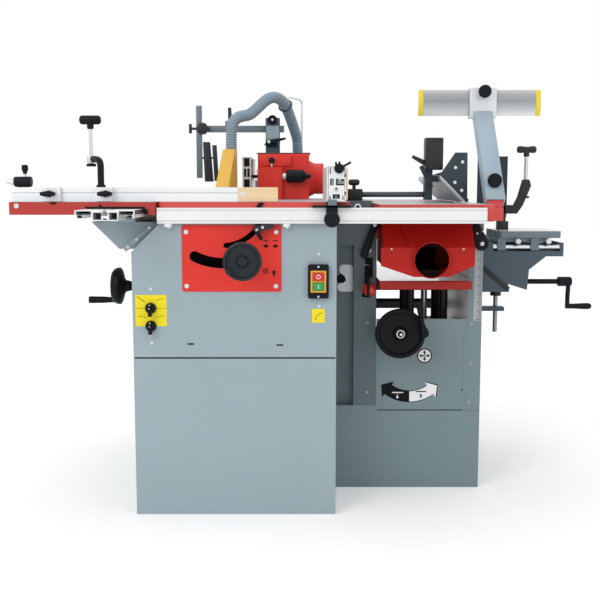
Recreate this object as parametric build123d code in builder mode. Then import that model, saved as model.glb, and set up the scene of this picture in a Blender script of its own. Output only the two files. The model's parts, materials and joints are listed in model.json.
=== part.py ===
from build123d import *
from math import atan2, cos, degrees, hypot, radians, sin, sqrt, tan
import os

# Combination woodworking machine: sliding-table saw, spindle moulder, planer, thicknesser and mortiser.
# +Z is up, X runs along the front and +Y away from the operator, with the origin on the floor under the
# middle of the two cabinets. All sizes are in millimetres.

# Height of the saw table, which the other heights follow
table_height = 850.0

# Fits
sheet = 3.0
run_gap = 0.3
turn_gap = 0.05
part_gap = 0.05

# Saw cabinet
cabinet_left = -488.0
cabinet_right = 55.0
cabinet_front = -400.0
cabinet_back = 400.0
lean_start = table_height - 132.0
lean_run = 76.0
panel_seam = 434.0
seam_gap = 4.0
floor_flange = 60.0
floor_bolt_radius = 7.0
floor_bolt_x = 440.0
floor_bolt_front = -130.0
floor_bolt_back = 360.0

# Saw table
table_depth = 44.0
table_plate = 12.0
table_wall = 10.0
table_right = 88.0
table_front = -406.0
table_back = 420.0
insert_depth = 8.0
insert_ledge = 8.0

# Tilting saw
tilt_x = -247.0
tilt_range = 45.0
blade_y = -45.0
blade_radius = 125.0
blade_width = 3.0
blade_show = 60.0
arbor_radius = 12.0
trunnion_radius = 60.0
trunnion_width = 16.0
trunnion_ear = 76.0
web_width = 10.0
trunnion_front = -216.0
trunnion_back = 142.0
wheel_orbit = 161.0
wheel_angle = -69.0
lock_orbit = 115.0
lock_angle = -37.0
wheel_slot_width = 28.0
lock_slot_width = 14.0
slot_over = 3.0
guard_reach_left = 29.0
guard_reach_right = 7.0
guard_wall = 4.0
guard_top = table_height + 153.0
guard_clear = 20.0
guard_front = -270.0
guard_slope_end = 0.0
guard_nose = 15.0
guard_back = 106.0

# Handwheels
small_wheel_radius = 50.0
small_wheel_width = 16.0
wheel_shaft_radius = 8.0
bed_wheel_radius = 71.0
bed_wheel_width = 18.0

# Control panel fittings
plate_left = -354.0
plate_right = -91.0
plate_low = table_height - 237.0
plate_high = table_height - 60.0
plate_thick = 2.0
switch_x = 6.5
switch_z = table_height - 209.0
switch_width = 55.0
switch_height = 90.0
switch_depth = 14.0
button_width = 29.0
button_height = 21.0
button_pitch = 26.0
button_travel = 3.0
selector_x = cabinet_left + 49.0
selector_zs = (569.0, 521.0)
selector_radius = 15.0
selector_shaft = 5.0

# Front rail
rail_left = -415.0
rail_right = 446.0
rail_low = table_height - 56.0
rail_high = table_height - 15.0
rail_depth = 18.0
rail_groove = 3.0
rail_foot_xs = (-388.0, -78.0)

# Sliding table
carriage_left = cabinet_left - 108.0
carriage_right = cabinet_left + 40.0
carriage_top = table_height - 18.0
carriage_low = table_height - 44.0
carriage_wing = 11.0
carriage_front = -560.0
carriage_length = 1000.0
guide_left = cabinet_left - 68.0
guide_right = cabinet_left
guide_front = -330.0
guide_back = 380.0
console_left = cabinet_left - 125.0
console_low = table_height - 130.0
console_front = -300.0
console_back = 350.0
beam_left = cabinet_left - 310.0
beam_right = cabinet_left + 70.0
beam_front = -430.0
beam_depth = 260.0
beam_low = table_height - 33.0
beam_plate = 8.0
beam_wall = 6.0

# Crosscut fence
fence_left = beam_left + 1.0
fence_right = -205.0
fence_front = -405.0
fence_thick = 25.0
fence_height = 37.7
fence_pivot_x = guide_left + 56.0
fence_pivot_radius = 6.0
board_right = -100.0
board_thick = 18.0
bracket_xs = (-711.0, -575.0)
bracket_width = 45.0
bracket_thick = 12.0
stop_left = fence_left + 6.0
stop_right = stop_left + 45.0
stop_radius = 13.5
clamp_x = -598.0
clamp_y = -350.0
clamp_arm_low = table_height + 105.0
clamp_arm_thick = 13.0
clamp_rod_radius = 4.5
clamp_handle_z = table_height + 215.0
clamp_handle_length = 57.0
clamp_handle_radius = 13.0

# Spindle moulder
spindle_x = -165.0
spindle_y = 235.0
spindle_radius = 15.0
spindle_hole = 90.0
quill_radius = 38.0
quill_sink = 50.0
spindle_flange = 14.0
spindle_sleeve = 150.0
cutter_head_radius = 48.0
knife_out = 4.0
left_wheel_y = -340.0
left_wheel_z = table_height - 228.0
left_wheel_x = cabinet_left - 20.0
left_shaft_radius = 10.0
hood_left = -176.0
hood_right = -13.0
hood_front = 125.0
hood_back = 345.0
hood_top = table_height + 144.0
hood_wall = 4.0
port_radius = 50.0
port_wall = 2.5
spindle_port_z = table_height + 66.0
spindle_port_end = 35.0
mould_fence_left = -225.0
mould_fence_right = -197.0
mould_fence_top = table_height + 133.0
mould_fence_front = 118.0
mould_fence_back = 400.0
mould_fence_gap = 130.0
post_x = -131.0
post_width = 46.0
arm_z = hood_top + 83.0
post_top = arm_z + 35.0
latch_z = hood_top + 40.0
arm_y = 230.0
arm_width = 21.0
arm_right = -94.0
hold_bar_x = -370.0
hold_bar_width = 18.0
hold_bar_low = table_height + 68.0
hold_bar_top = arm_z + 73.0

# Dust hose
hose_radius = 18.0
hose_bore = 15.0
hose_rib_depth = 1.6
hose_rib_pitch = 7.0
hose_route = [
    (-255, 60, guard_top),
    (-255, 60, guard_top + 65),
    (-196, 132, guard_top + 119),
    (-128, 205, hood_top + 192),
    (-84, 262, hood_top + 142),
    (-50, 318, hood_top + 82),
    (-50, 318, hood_top + 6),
]
spigot_height = 12.0

# Rip fence
rip_left = 28.0
rip_right = 77.0
rip_top = table_height + 92.0
rip_front = -428.0
rip_back = 20.0
rip_wall = 3.0
rip_bar_left = -10.0
rip_bar_right = 90.0
rip_knob_x = 40.0
rip_knob_z = table_height - 44.0
rip_knob_radius = 20.5
rip_knob_end = -470.0

# Planer stand
planer_top = table_height - 5.0
planer_front = -172.0
plinth_height = 249.0
bed_width = 260.0
tunnel_clear = 3.0
tunnel_left = 180.0
tunnel_right = tunnel_left + bed_width + 2 * tunnel_clear
planer_x = (tunnel_left + tunnel_right) / 2
planer_right = tunnel_right + 42.0
column_left = 114.0
head_left = 64.0
head_shelf = planer_top - 42.0
head_low = head_shelf - 81.0
cover_left = 92.0
cover_right = 166.0
cover_top = planer_top + 4.5
panel_top = 469.0
recess_depth = 26.0
housing_top = planer_top - 47.0

# Planer tables and cutter
cutter_y = 60.0
cutter_radius = 35.0
journal_radius = 17.5
infeed_drop = 2.0
planer_table_left = 168.0
planer_table_right = planer_right - 18.0
infeed_front = -400.0
outfeed_back = 530.0
lip_reach = 34.0
pedestal_half = 31.0
pedestal_top = planer_top - 9.0
pulley_radius = 29.0
belt_width = 18.0
belt_thick = 6.0
motor_z = 125.0
motor_radius = 65.0
roller_radius = 17.0
roller_journal = 8.0
roller_reach = 75.0
roller_z = planer_top - 65.0
chuck_radius = 22.0
chuck_length = 52.0

# Chip hood
chip_left = tunnel_left + 1.0
chip_right = tunnel_right - 6.0
chip_front = -300.0
chip_top = planer_top - 55.0
chip_crease = planer_top - 122.0
chip_wing = planer_top - 172.0
chip_low = planer_top - 203.0
chip_under = planer_top - 190.0
chip_lip = 14.0
chip_lip_run = 20.0
chip_slope = 65.0
chip_vee = 48.0
chip_port_x = planer_x + 7.0
chip_port_z = planer_top - 156.0
chip_port_end = -316.0
chip_back = -60.0
chip_mouth = 34.0
chip_boss = 36.0
chip_lug_front = -160.0

# Thicknesser
bed_top = planer_top - 219.0
bed_thick = 25.0
bed_front = -250.0
bed_back = 300.0
post_xs = (planer_x - 22.0, planer_x + 79.0)
post_ys = (-60.0, 110.0)
bed_post_radius = 13.0
screw_x = planer_x + 32.0
screw_y = 25.0
screw_radius = 10.0
base_left = planer_x - 66.0
base_right = planer_x + 117.0
base_front = -110.0
base_back = 160.0
base_plate = 19.0
bed_wheel_x = 241.0
bed_wheel_z = 478.0
bed_wheel_y = -252.0
feed_slot_x = 152.0
feed_slot_low = planer_top - 274.0
feed_slot_high = planer_top - 183.0
feed_ball_radius = 20.0
lever_x = 172.0
lever_z = planer_top - 63.0
lever_reach_x = -30.0
lever_reach_z = -86.0
lever_width = 22.0
lever_pin = 6.0
lock_lever_x = planer_right - 10.0
lock_lever_z = planer_top - 117.0
lock_lever_reach_x = -16.0
lock_lever_reach_z = 46.0

# Bridge guard
guard_pivot_x = planer_right + 14.0
guard_pivot_y = -238.0
guard_pivot_z = planer_top + 11.0
guard_pin_radius = 6.0
guard_arm_width = 54.0
guard_arm_lean = 39.0
guard_arm_length = 318.0
guard_arm_thick = 34.0
guard_arm_wall = 4.0
guard_arm_end = 14.0
guard_tongue = 12.0
bridge_left = guard_pivot_x - 191.0
bridge_right = guard_pivot_x + 174.0
bridge_width = 76.0
bridge_thick = 12.0
bridge_low = guard_pivot_z + guard_arm_length * cos(radians(guard_arm_lean)) - 3.132

# Planer fence
pfence_foot_x = tunnel_right - 9.0
rod_radius = 9.0
rod_z = planer_top + 22.0
rod_y = -100.0
rod_left = 103.0
rod_right = pfence_foot_x - 92.0
rod_block_left = 93.0
rod_block_right = 141.0
pfence_front = -158.0
pfence_back = 330.0
pfence_thick = 8.0
pfence_foot_z = planer_top + 2.0
pfence_rise = 76.0
pbracket_top = planer_top + 185.0
gusset_top = planer_top + 142.0
gusset_thick = 8.0

# Mortiser
mort_front = -60.0
mort_back = 150.0
mort_plate = 12.0
knee_left = planer_right + 12.3
knee_low = planer_top - 272.0
knee_top = planer_top - 148.0
knee_wall = 10.0
knee_web_right = planer_right + 157.0
knee_beam_left = planer_right + 212.0
knee_right = planer_right + 264.0
brace_low = planer_top - 341.0
chuck_guard_left = planer_right + 40.0
chuck_guard_right = planer_right + 136.0
chuck_guard_low = planer_top - 53.0
chuck_guard_top = planer_top + 141.0
saddle_low = planer_top - 146.0
saddle_high = planer_top - 109.0
saddle_left = planer_right + 71.0
saddle_right = planer_right + 255.0
mtable_high = planer_top - 88.0
mort_rod_radius = 8.0
mort_rod_z = planer_top - 136.0
mort_rod_inset = 12.0
mort_post_right = planer_right + 52.0
mort_post_end = planer_right + 254.0
mort_post_top = planer_top - 123.0
mcrank_z = planer_top - 250.0
mcrank_y = 40.0
mcrank_radius = 8.0
mcrank_drop = 78.0
mcrank_end = planer_right + 304.0
mcrank_arm = 12.0
mcrank_grip = 60.0
mscrew_x = planer_right + 84.0
mscrew_low = planer_top - 409.0
mscrew_radius = 7.0
mclamp_x = planer_right + 103.0
mclamp_y = 60.0
mclamp_arm_z = planer_top - 12.0
mclamp_foot_z = planer_top + 15.0
mclamp_handle_z = planer_top + 159.0

cabinet_top = table_height - table_depth
table_left = cabinet_left + lean_run
blade_z = table_height + blade_show - blade_radius
cutter_z = planer_top - cutter_radius
rail_back = table_front
rail_front = rail_back - rail_depth
wheel_x = tilt_x + wheel_orbit * cos(radians(wheel_angle))
wheel_z = table_height + wheel_orbit * sin(radians(wheel_angle))
lock_x = tilt_x + lock_orbit * cos(radians(lock_angle))
lock_z = table_height + lock_orbit * sin(radians(lock_angle))

os.makedirs("parts", exist_ok=True)


def front_plane(y):
    """A plane across the machine at depth y, with X to the right and Z up, facing the operator."""
    return Plane(origin=(0, y, 0), x_dir=(1, 0, 0), z_dir=(0, -1, 0))


def side_plane(x):
    """A plane along the machine at x, with Y to the right and Z up, facing right."""
    return Plane(origin=(x, 0, 0), x_dir=(0, 1, 0), z_dir=(1, 0, 0))


def block(x, y, z, mode=Mode.ADD):
    """A box between the low and high values given on each axis."""
    with Locations(((x[0] + x[1]) / 2, (y[0] + y[1]) / 2, (z[0] + z[1]) / 2)):
        Box(x[1] - x[0], y[1] - y[0], z[1] - z[0], mode=mode)


def rod(start, end, radius, mode=Mode.ADD):
    """A round bar from one point to another."""
    direction = Vector(*end) - Vector(*start)
    with Locations(Plane(origin=start, z_dir=direction).location):
        Cylinder(radius, direction.length, align=(Align.CENTER, Align.CENTER, Align.MIN), mode=mode)


def taper(start, end, start_radius, end_radius, mode=Mode.ADD):
    """A cone from one point to another."""
    direction = Vector(*end) - Vector(*start)
    with Locations(Plane(origin=start, z_dir=direction).location):
        Cone(start_radius, end_radius, direction.length,
             align=(Align.CENTER, Align.CENTER, Align.MIN), mode=mode)


def ball(center, radius, mode=Mode.ADD):
    """A sphere about a point."""
    with Locations(center):
        Sphere(radius, mode=mode)


def slab_y(points, y, mode=Mode.ADD):
    """An outline in X and Z, carried through the depth from y[0] to y[1]."""
    with BuildSketch(front_plane(y[1])) as outline:
        Polygon(*points, align=None)
    extrude(outline.sketch, amount=y[1] - y[0], mode=mode)


def slab_x(points, x, mode=Mode.ADD):
    """An outline in Y and Z, carried across from x[0] to x[1]."""
    with BuildSketch(side_plane(x[0])) as outline:
        Polygon(*points, align=None)
    extrude(outline.sketch, amount=x[1] - x[0], mode=mode)


def slab_z(points, z, mode=Mode.ADD):
    """An outline in X and Y, carried up from z[0] to z[1]."""
    with BuildSketch(Plane.XY.offset(z[0])) as outline:
        Polygon(*points, align=None)
    extrude(outline.sketch, amount=z[1] - z[0], mode=mode)


def at_tilt(radius, angle):
    """The X and Z of a point at a radius and angle about the tilt axis."""
    return (tilt_x + radius * cos(radians(angle)), table_height + radius * sin(radians(angle)))


def arc_slot(radius, angle, width, y):
    """A curved slot about the tilt axis, long enough for the whole tilt from the given angle."""
    last = angle + slot_over
    first = angle - tilt_range - slot_over
    with BuildSketch(front_plane(y[1])) as slot:
        with BuildLine():
            outer = CenterArc((tilt_x, table_height), radius + width / 2, first, last - first)
            inner = CenterArc((tilt_x, table_height), radius - width / 2, first, last - first)
            end_turn = degrees(width / 2 / radius)
            ThreePointArc(outer @ 0, at_tilt(radius, first - end_turn), inner @ 0)
            ThreePointArc(outer @ 1, at_tilt(radius, last + end_turn), inner @ 1)
        make_face()
    extrude(slot.sketch, amount=y[1] - y[0], mode=Mode.SUBTRACT)


def handwheel(center, direction, radius, width, hub_radius):
    """A dished handwheel whose back face is at center, with three round holes in its web."""
    def step(distance):
        return tuple(c + d * distance for c, d in zip(center, direction))

    rim = radius * 0.16
    rod(center, step(width), radius)
    rod(center, step(width), radius - rim, Mode.SUBTRACT)
    rod(step(width * 0.3), step(width * 0.65), radius - rim)
    face = Plane(origin=step(width * 0.3), z_dir=direction)
    for turn in (90, 210, 330):
        hole = face.from_local_coords(Vector(radius * 0.55, 0, 0).rotate(Axis.Z, turn))
        end = hole + Vector(*direction) * width
        rod(tuple(hole - Vector(*direction) * width * 0.1), tuple(end), radius * 0.17, Mode.SUBTRACT)
    rod(step(-width * 0.3), step(width * 1.25), hub_radius)


def keep(piece, name):
    """Label a finished piece and write its STEP file."""
    piece.part.label = name
    export_step(piece.part, f"parts/{name}.step")


def cabinet_outline(inset, low, high):
    """The saw cabinet's front outline, moved in from its outer face by inset."""
    bend = inset * tan(radians(22.5))
    return [
        (cabinet_left + inset, low),
        (cabinet_left + inset, lean_start - bend),
        (table_left + inset, lean_start + lean_run - bend),
        (table_left + inset, high),
        (cabinet_right - inset, high),
        (cabinet_right - inset, low),
    ]


# Saw cabinet shell, open at the front and the top
with BuildPart() as saw_cabinet:
    slab_y(cabinet_outline(0, 0, cabinet_top), (cabinet_front + sheet, cabinet_back))
    slab_y(
        cabinet_outline(sheet, sheet, cabinet_top + 1),
        (cabinet_front, cabinet_back - sheet),
        Mode.SUBTRACT,
    )
    block(
        (cabinet_left + floor_flange, cabinet_right - floor_flange),
        (cabinet_front + floor_flange, cabinet_back - floor_flange),
        (-1, sheet + 1),
        Mode.SUBTRACT,
    )
    for y in (floor_bolt_front, floor_bolt_back):
        rod((-floor_bolt_x, y, -1), (-floor_bolt_x, y, sheet + 1), floor_bolt_radius, Mode.SUBTRACT)
    rod(
        (cabinet_left - 1, left_wheel_y, left_wheel_z),
        (cabinet_left + sheet + 1, left_wheel_y, left_wheel_z),
        left_shaft_radius + turn_gap,
        Mode.SUBTRACT,
    )
keep(saw_cabinet, "saw_cabinet")

# Control panel above and access panel below, one seam apart
with BuildPart() as front_panels:
    panel_y = (cabinet_front, cabinet_front + sheet)
    slab_y(cabinet_outline(0, panel_seam + seam_gap / 2, cabinet_top), panel_y)
    block((cabinet_left, cabinet_right), panel_y, (0, panel_seam - seam_gap / 2))
    arc_slot(wheel_orbit, wheel_angle, wheel_slot_width, panel_y)
    arc_slot(lock_orbit, lock_angle, lock_slot_width, panel_y)
    for z in selector_zs:
        rod(
            (selector_x, panel_y[0] - 1, z),
            (selector_x, panel_y[1] + 1, z),
            selector_shaft + turn_gap,
            Mode.SUBTRACT,
        )
keep(front_panels, "front_panels")

# Red tilt plate around the two curved slots
with BuildPart() as tilt_plate:
    tilt_plate_y = (cabinet_front - plate_thick, cabinet_front)
    block((plate_left, plate_right), tilt_plate_y, (plate_low, plate_high))
    fillet(tilt_plate.edges().filter_by(Axis.Y), 6)
    arc_slot(wheel_orbit, wheel_angle, wheel_slot_width, tilt_plate_y)
    arc_slot(lock_orbit, lock_angle, lock_slot_width, tilt_plate_y)
keep(tilt_plate, "tilt_plate")

# Switch box with a pocket for each button
switch_front = cabinet_front - switch_depth
button_zs = {"stop_button": switch_z + button_pitch / 2, "start_button": switch_z - button_pitch / 2}
pocket_back = cabinet_front - 3
with BuildPart() as switch_plate:
    block(
        (switch_x - switch_width / 2, switch_x + switch_width / 2),
        (switch_front, cabinet_front),
        (switch_z - switch_height / 2, switch_z + switch_height / 2),
    )
    fillet(switch_plate.edges().filter_by(Axis.Y), 5)
    for z in button_zs.values():
        block(
            (switch_x - button_width / 2 - run_gap, switch_x + button_width / 2 + run_gap),
            (switch_front - 1, pocket_back),
            (z - button_height / 2 - run_gap, z + button_height / 2 + run_gap),
            Mode.SUBTRACT,
        )
keep(switch_plate, "switch_plate")

# Start and stop buttons
for name, z in button_zs.items():
    with BuildPart() as button:
        block(
            (switch_x - button_width / 2, switch_x + button_width / 2),
            (switch_front - 5, pocket_back - button_travel - run_gap),
            (z - button_height / 2, z + button_height / 2),
        )
        fillet(button.edges().filter_by(Axis.Y), 3)
        fillet(button.faces().sort_by(Axis.Y)[0].edges(), 1.5)
    keep(button, name)

# Two selector knobs with a pointer rib
for name, z in zip(("selector_knob_upper", "selector_knob_lower"), selector_zs):
    with BuildPart() as selector:
        knob_y = cabinet_front - 2
        block(
            (selector_x - 5, selector_x + 5),
            (knob_y - 22, knob_y - 12),
            (z - selector_radius - 6, z + selector_radius),
        )
        fillet(selector.edges().filter_by(Axis.Y), 2)
        rod((selector_x, knob_y - 12, z), (selector_x, knob_y, z), selector_radius)
        rod((selector_x, knob_y, z), (selector_x, cabinet_front + 18, z), selector_shaft)
    keep(selector, name)

# Saw table casting with the trunnion and spindle brackets below it, and its blade insert as a second solid
under_table = table_height - table_plate
bracket_ys = (
    (trunnion_front, trunnion_front + trunnion_width),
    (trunnion_back - trunnion_width, trunnion_back),
)
insert_left = tilt_x - 75
insert_right = tilt_x + 30
insert_front = blade_y - blade_radius - 16
insert_back = trunnion_back - 18
with BuildPart() as table_insert:
    block(
        (insert_left + run_gap, insert_right - run_gap),
        (insert_front + run_gap, insert_back - run_gap),
        (table_height - insert_depth + part_gap, table_height),
    )
    block(
        (tilt_x - insert_depth - 5, tilt_x + 5),
        (insert_front + 10, insert_back - 6),
        (table_height - insert_depth - 1, table_height + 1),
        Mode.SUBTRACT,
    )
quill_top = table_height - quill_sink
spindle_top = (spindle_x, spindle_y, table_height)
with BuildPart() as table_brackets:
    for y in bracket_ys:
        block(
            (tilt_x - trunnion_ear, tilt_x + trunnion_ear), y, (table_height - trunnion_ear, under_table),
        )
        rod(
            (tilt_x, y[0] - 1, table_height),
            (tilt_x, y[1] + 1, table_height),
            trunnion_radius + run_gap,
            Mode.SUBTRACT,
        )
    flange_z = (under_table - spindle_flange, under_table)
    sleeve_z = (table_height - spindle_sleeve, under_table - spindle_flange)
    block((spindle_x - 95, spindle_x + 95), (spindle_y - 65, spindle_y + 115), flange_z)
    block((spindle_x - 60, spindle_x + 60), (spindle_y - 60, spindle_y + 75), sleeve_z)
    rod((spindle_x, spindle_y, sleeve_z[0] - 1), spindle_top, quill_radius + turn_gap, Mode.SUBTRACT)
    rod(
        (spindle_x, spindle_y, quill_top - 6),
        spindle_top,
        cutter_head_radius + knife_out + 6,
        Mode.SUBTRACT,
    )
with BuildPart() as saw_table:
    block((table_left, table_right), (table_front, table_back), (cabinet_top, table_height))
    fillet(saw_table.edges().filter_by(Axis.Z), 4)
    pocket_z = (cabinet_top - 1, table_height - table_plate)
    pocket_y = (table_front + table_wall, table_back - table_wall)
    block((table_left + table_wall, cabinet_right - table_wall), pocket_y, pocket_z, Mode.SUBTRACT)
    block((cabinet_right + 7, table_right - table_wall), pocket_y, pocket_z, Mode.SUBTRACT)
    block(
        (insert_left, insert_right),
        (insert_front, insert_back),
        (table_height - insert_depth, table_height + 1),
        Mode.SUBTRACT,
    )
    block(
        (insert_left + insert_ledge, insert_right - insert_ledge),
        (insert_front + insert_ledge, insert_back - insert_ledge),
        (table_height - table_plate - 1, table_height),
        Mode.SUBTRACT,
    )
    rod(
        (spindle_x, spindle_y, cabinet_top),
        (spindle_x, spindle_y, table_height + 1),
        spindle_hole,
        Mode.SUBTRACT,
    )
    add(table_brackets.part)
    add(table_insert.part)
keep(saw_table, "saw_table")

# Front rail, an extrusion with two grooves, on two small feet
with BuildPart() as front_rail:
    groove_z = rail_high - 9
    rail_outline = [
        (rail_back, rail_low),
        (rail_front, rail_low),
        (rail_front, rail_low + 5),
        (rail_front + rail_groove, rail_low + 5),
        (rail_front + rail_groove, rail_low + 8),
        (rail_front, rail_low + 8),
        (rail_front, groove_z),
        (rail_front + rail_groove, groove_z),
        (rail_front + rail_groove, groove_z + 4),
        (rail_front, groove_z + 4),
        (rail_front, rail_high),
        (rail_back, rail_high),
    ]
    slab_x(rail_outline, (rail_left, rail_right))
    for x in rail_foot_xs:
        block((x - 8, x + 8), (rail_front + 3, rail_back), (rail_low - 9, rail_low))
keep(front_rail, "front_rail")

# Console under the sliding table, with the guide that the carriage runs on
console_right = cabinet_left + (console_low - lean_start)
with BuildPart() as slide_console:
    top_z = lean_start + lean_run
    side = top_z - console_low
    slab_y(
        [
            (console_left, top_z),
            (console_left + side, console_low),
            (console_right, console_low),
            (table_left, top_z),
        ],
        (console_front, console_back),
    )
    slab_y(
        [
            (console_left + 12, top_z - sheet),
            (console_left + side + 2, console_low + sheet),
            (console_right - 4, console_low + sheet),
            (table_left - 12, top_z - sheet),
        ],
        (console_front + sheet, console_back + 1),
        Mode.SUBTRACT,
    )
    block((guide_left, guide_right), (guide_front, guide_back), (top_z, carriage_low - run_gap))
keep(slide_console, "slide_console")

# Sliding carriage, an extrusion with hollow wings and a slot along its top
carriage_y = (carriage_front, carriage_front + carriage_length)
carriage_x = (carriage_left + carriage_right) / 2
wing_low = carriage_top - carriage_wing
with BuildPart() as carriage:
    block((carriage_left, carriage_right), carriage_y, (wing_low, carriage_top))
    block((carriage_x - 33, carriage_x + 33), carriage_y, (carriage_low, wing_low))
    for wing in ((carriage_left + 3, carriage_x - 36), (carriage_x + 36, carriage_right - 3)):
        block(wing, carriage_y, (wing_low + 2, carriage_top - 2.5), Mode.SUBTRACT)
    for side_x in (carriage_left + 12, carriage_right - 12):
        block((side_x - 9, side_x + 9), carriage_y, (carriage_low + 6, wing_low))
        block((side_x - 6, side_x + 6), carriage_y, (carriage_low + 8.5, wing_low - 2), Mode.SUBTRACT)
    for side_x in (carriage_x - 20, carriage_x + 20):
        block((side_x - 9, side_x + 9), carriage_y, (carriage_low + 4, carriage_top - 8), Mode.SUBTRACT)
    block(
        (carriage_x - 8, carriage_x + 8), carriage_y, (carriage_top - 14, carriage_top - 5), Mode.SUBTRACT,
    )
    block(
        (carriage_x - 4, carriage_x + 4), carriage_y, (carriage_top - 7, carriage_top + 1), Mode.SUBTRACT,
    )
keep(carriage, "carriage")

# Red table bolted across the carriage, hollow below
beam_y = (beam_front, beam_front + beam_depth)
fence_y = fence_front + fence_thick / 2
with BuildPart() as carriage_table:
    block((beam_left, beam_right), beam_y, (beam_low, table_height))
    fillet(carriage_table.edges().filter_by(Axis.Z), 5)
    block(
        (beam_left + beam_wall, beam_right - beam_wall),
        (beam_y[0] + beam_wall, beam_y[1] - beam_wall),
        (beam_low - 1, table_height - beam_plate),
        Mode.SUBTRACT,
    )
    block(
        (carriage_left - 4, carriage_right + 4),
        (beam_y[0] - 1, beam_y[1] + 1),
        (beam_low - 1, carriage_top),
        Mode.SUBTRACT,
    )
    rod(
        (fence_pivot_x, fence_y, table_height - beam_plate - 1),
        (fence_pivot_x, fence_y, table_height + 1),
        fence_pivot_radius + turn_gap,
        Mode.SUBTRACT,
    )
keep(carriage_table, "carriage_table")

# Crosscut fence with its two clamp blocks and the pin that it swings on
fence_low = table_height + run_gap
fence_high = fence_low + fence_height
fence_back = fence_front + fence_thick
with BuildPart() as crosscut_fence:
    block((fence_left, fence_right), (fence_front, fence_back), (fence_low, fence_high))
    for side_y in (fence_front, fence_back):
        block(
            (fence_left - 1, fence_right + 1),
            (side_y - 3, side_y + 3),
            (fence_high - 16, fence_high - 13),
            Mode.SUBTRACT,
        )
    block(
        (fence_left - 1, fence_right + 1),
        (fence_y - 8, fence_y + 8),
        (fence_low + 4, fence_high - 19),
        Mode.SUBTRACT,
    )
    block(
        (fence_left - 1, fence_right + 1),
        (fence_y - 6, fence_y + 6),
        (fence_high - 10, fence_high - 3),
        Mode.SUBTRACT,
    )
    block(
        (fence_left - 1, fence_right + 1),
        (fence_y - 3, fence_y + 3),
        (fence_high - 4, fence_high + 1),
        Mode.SUBTRACT,
    )
    rod(
        (fence_pivot_x, fence_y, table_height - beam_plate),
        (fence_pivot_x, fence_y, fence_low + 4),
        fence_pivot_radius,
    )
    for x in bracket_xs:
        block(
            (x, x + bracket_width),
            (fence_front - bracket_thick, fence_front),
            (fence_low + 1, fence_high),
        )
keep(crosscut_fence, "crosscut_fence")

# Wooden board screwed to the end of the crosscut fence
with BuildPart() as fence_board:
    block(
        (fence_right, board_right), (fence_front, fence_front + board_thick), (fence_low + 1, fence_high),
    )
    fillet(fence_board.edges().filter_by(Axis.X), 1)
keep(fence_board, "fence_board")

# Wing knobs, end stop and clamp post on the crosscut fence
clamp_arm = (clamp_arm_low, clamp_arm_low + clamp_arm_thick)
clamp_post_x = (bracket_xs[1] + 1, bracket_xs[1] + 20)
with BuildPart() as fence_fittings:
    for x in bracket_xs:
        knob_y = fence_front - bracket_thick
        knob_x = x + bracket_width * 0.35
        knob_z = (fence_low + fence_high) / 2
        rod((knob_x, knob_y, knob_z), (knob_x, knob_y - 12, knob_z), 9)
        block((knob_x - 18, knob_x + 18), (knob_y - 22, knob_y - 10), (knob_z - 7, knob_z + 7))
    fillet(fence_fittings.edges().filter_by(Axis.Y).group_by(SortBy.LENGTH)[-1], 3)
    stop_z = fence_high + stop_radius + 1
    rod((stop_left, fence_y, stop_z), (stop_right, fence_y, stop_z), stop_radius)
    rod((stop_left - 21, fence_y, stop_z), (stop_left, fence_y, stop_z), 6)
    block((stop_left + 8, stop_right - 8), (fence_y - 9, fence_y + 9), (fence_high, stop_z - 2))
    stop_x = stop_left + 20
    rod((stop_x, fence_y, stop_z), (stop_x, fence_y, stop_z + 26), 4)
    rod((stop_x, fence_y, stop_z + 26), (stop_x, fence_y, stop_z + 46), 9)
    block(clamp_post_x, (fence_y - 8, fence_y + 8), (fence_high, clamp_arm[1]))
    slab_z(
        [
            (clamp_post_x[1], fence_y - 8),
            (clamp_post_x[1], fence_y + 8),
            (clamp_x + 10, clamp_y + 10),
            (clamp_x - 10, clamp_y + 10),
            (clamp_x - 10, clamp_y - 8),
            (clamp_post_x[0], fence_y - 8),
        ],
        clamp_arm,
    )
    rod(
        (clamp_x, clamp_y, clamp_arm[0] - 1),
        (clamp_x, clamp_y, clamp_arm[1] + 1),
        clamp_rod_radius + turn_gap,
        Mode.SUBTRACT,
    )
keep(fence_fittings, "fence_fittings")

# Clamp screw with its cross handle and foot
with BuildPart() as clamp_screw:
    half = clamp_handle_length / 2
    rod(
        (clamp_x - half, clamp_y, clamp_handle_z),
        (clamp_x + half, clamp_y, clamp_handle_z),
        clamp_handle_radius,
    )
    fillet(clamp_screw.edges().filter_by(GeomType.CIRCLE), 5)
    rod((clamp_x, clamp_y, clamp_arm[0] - 8), (clamp_x, clamp_y, clamp_handle_z), clamp_rod_radius)
    rod((clamp_x, clamp_y, clamp_arm[0] - 12), (clamp_x, clamp_y, clamp_arm[0] - 4), 13)
keep(clamp_screw, "clamp_screw")

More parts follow.
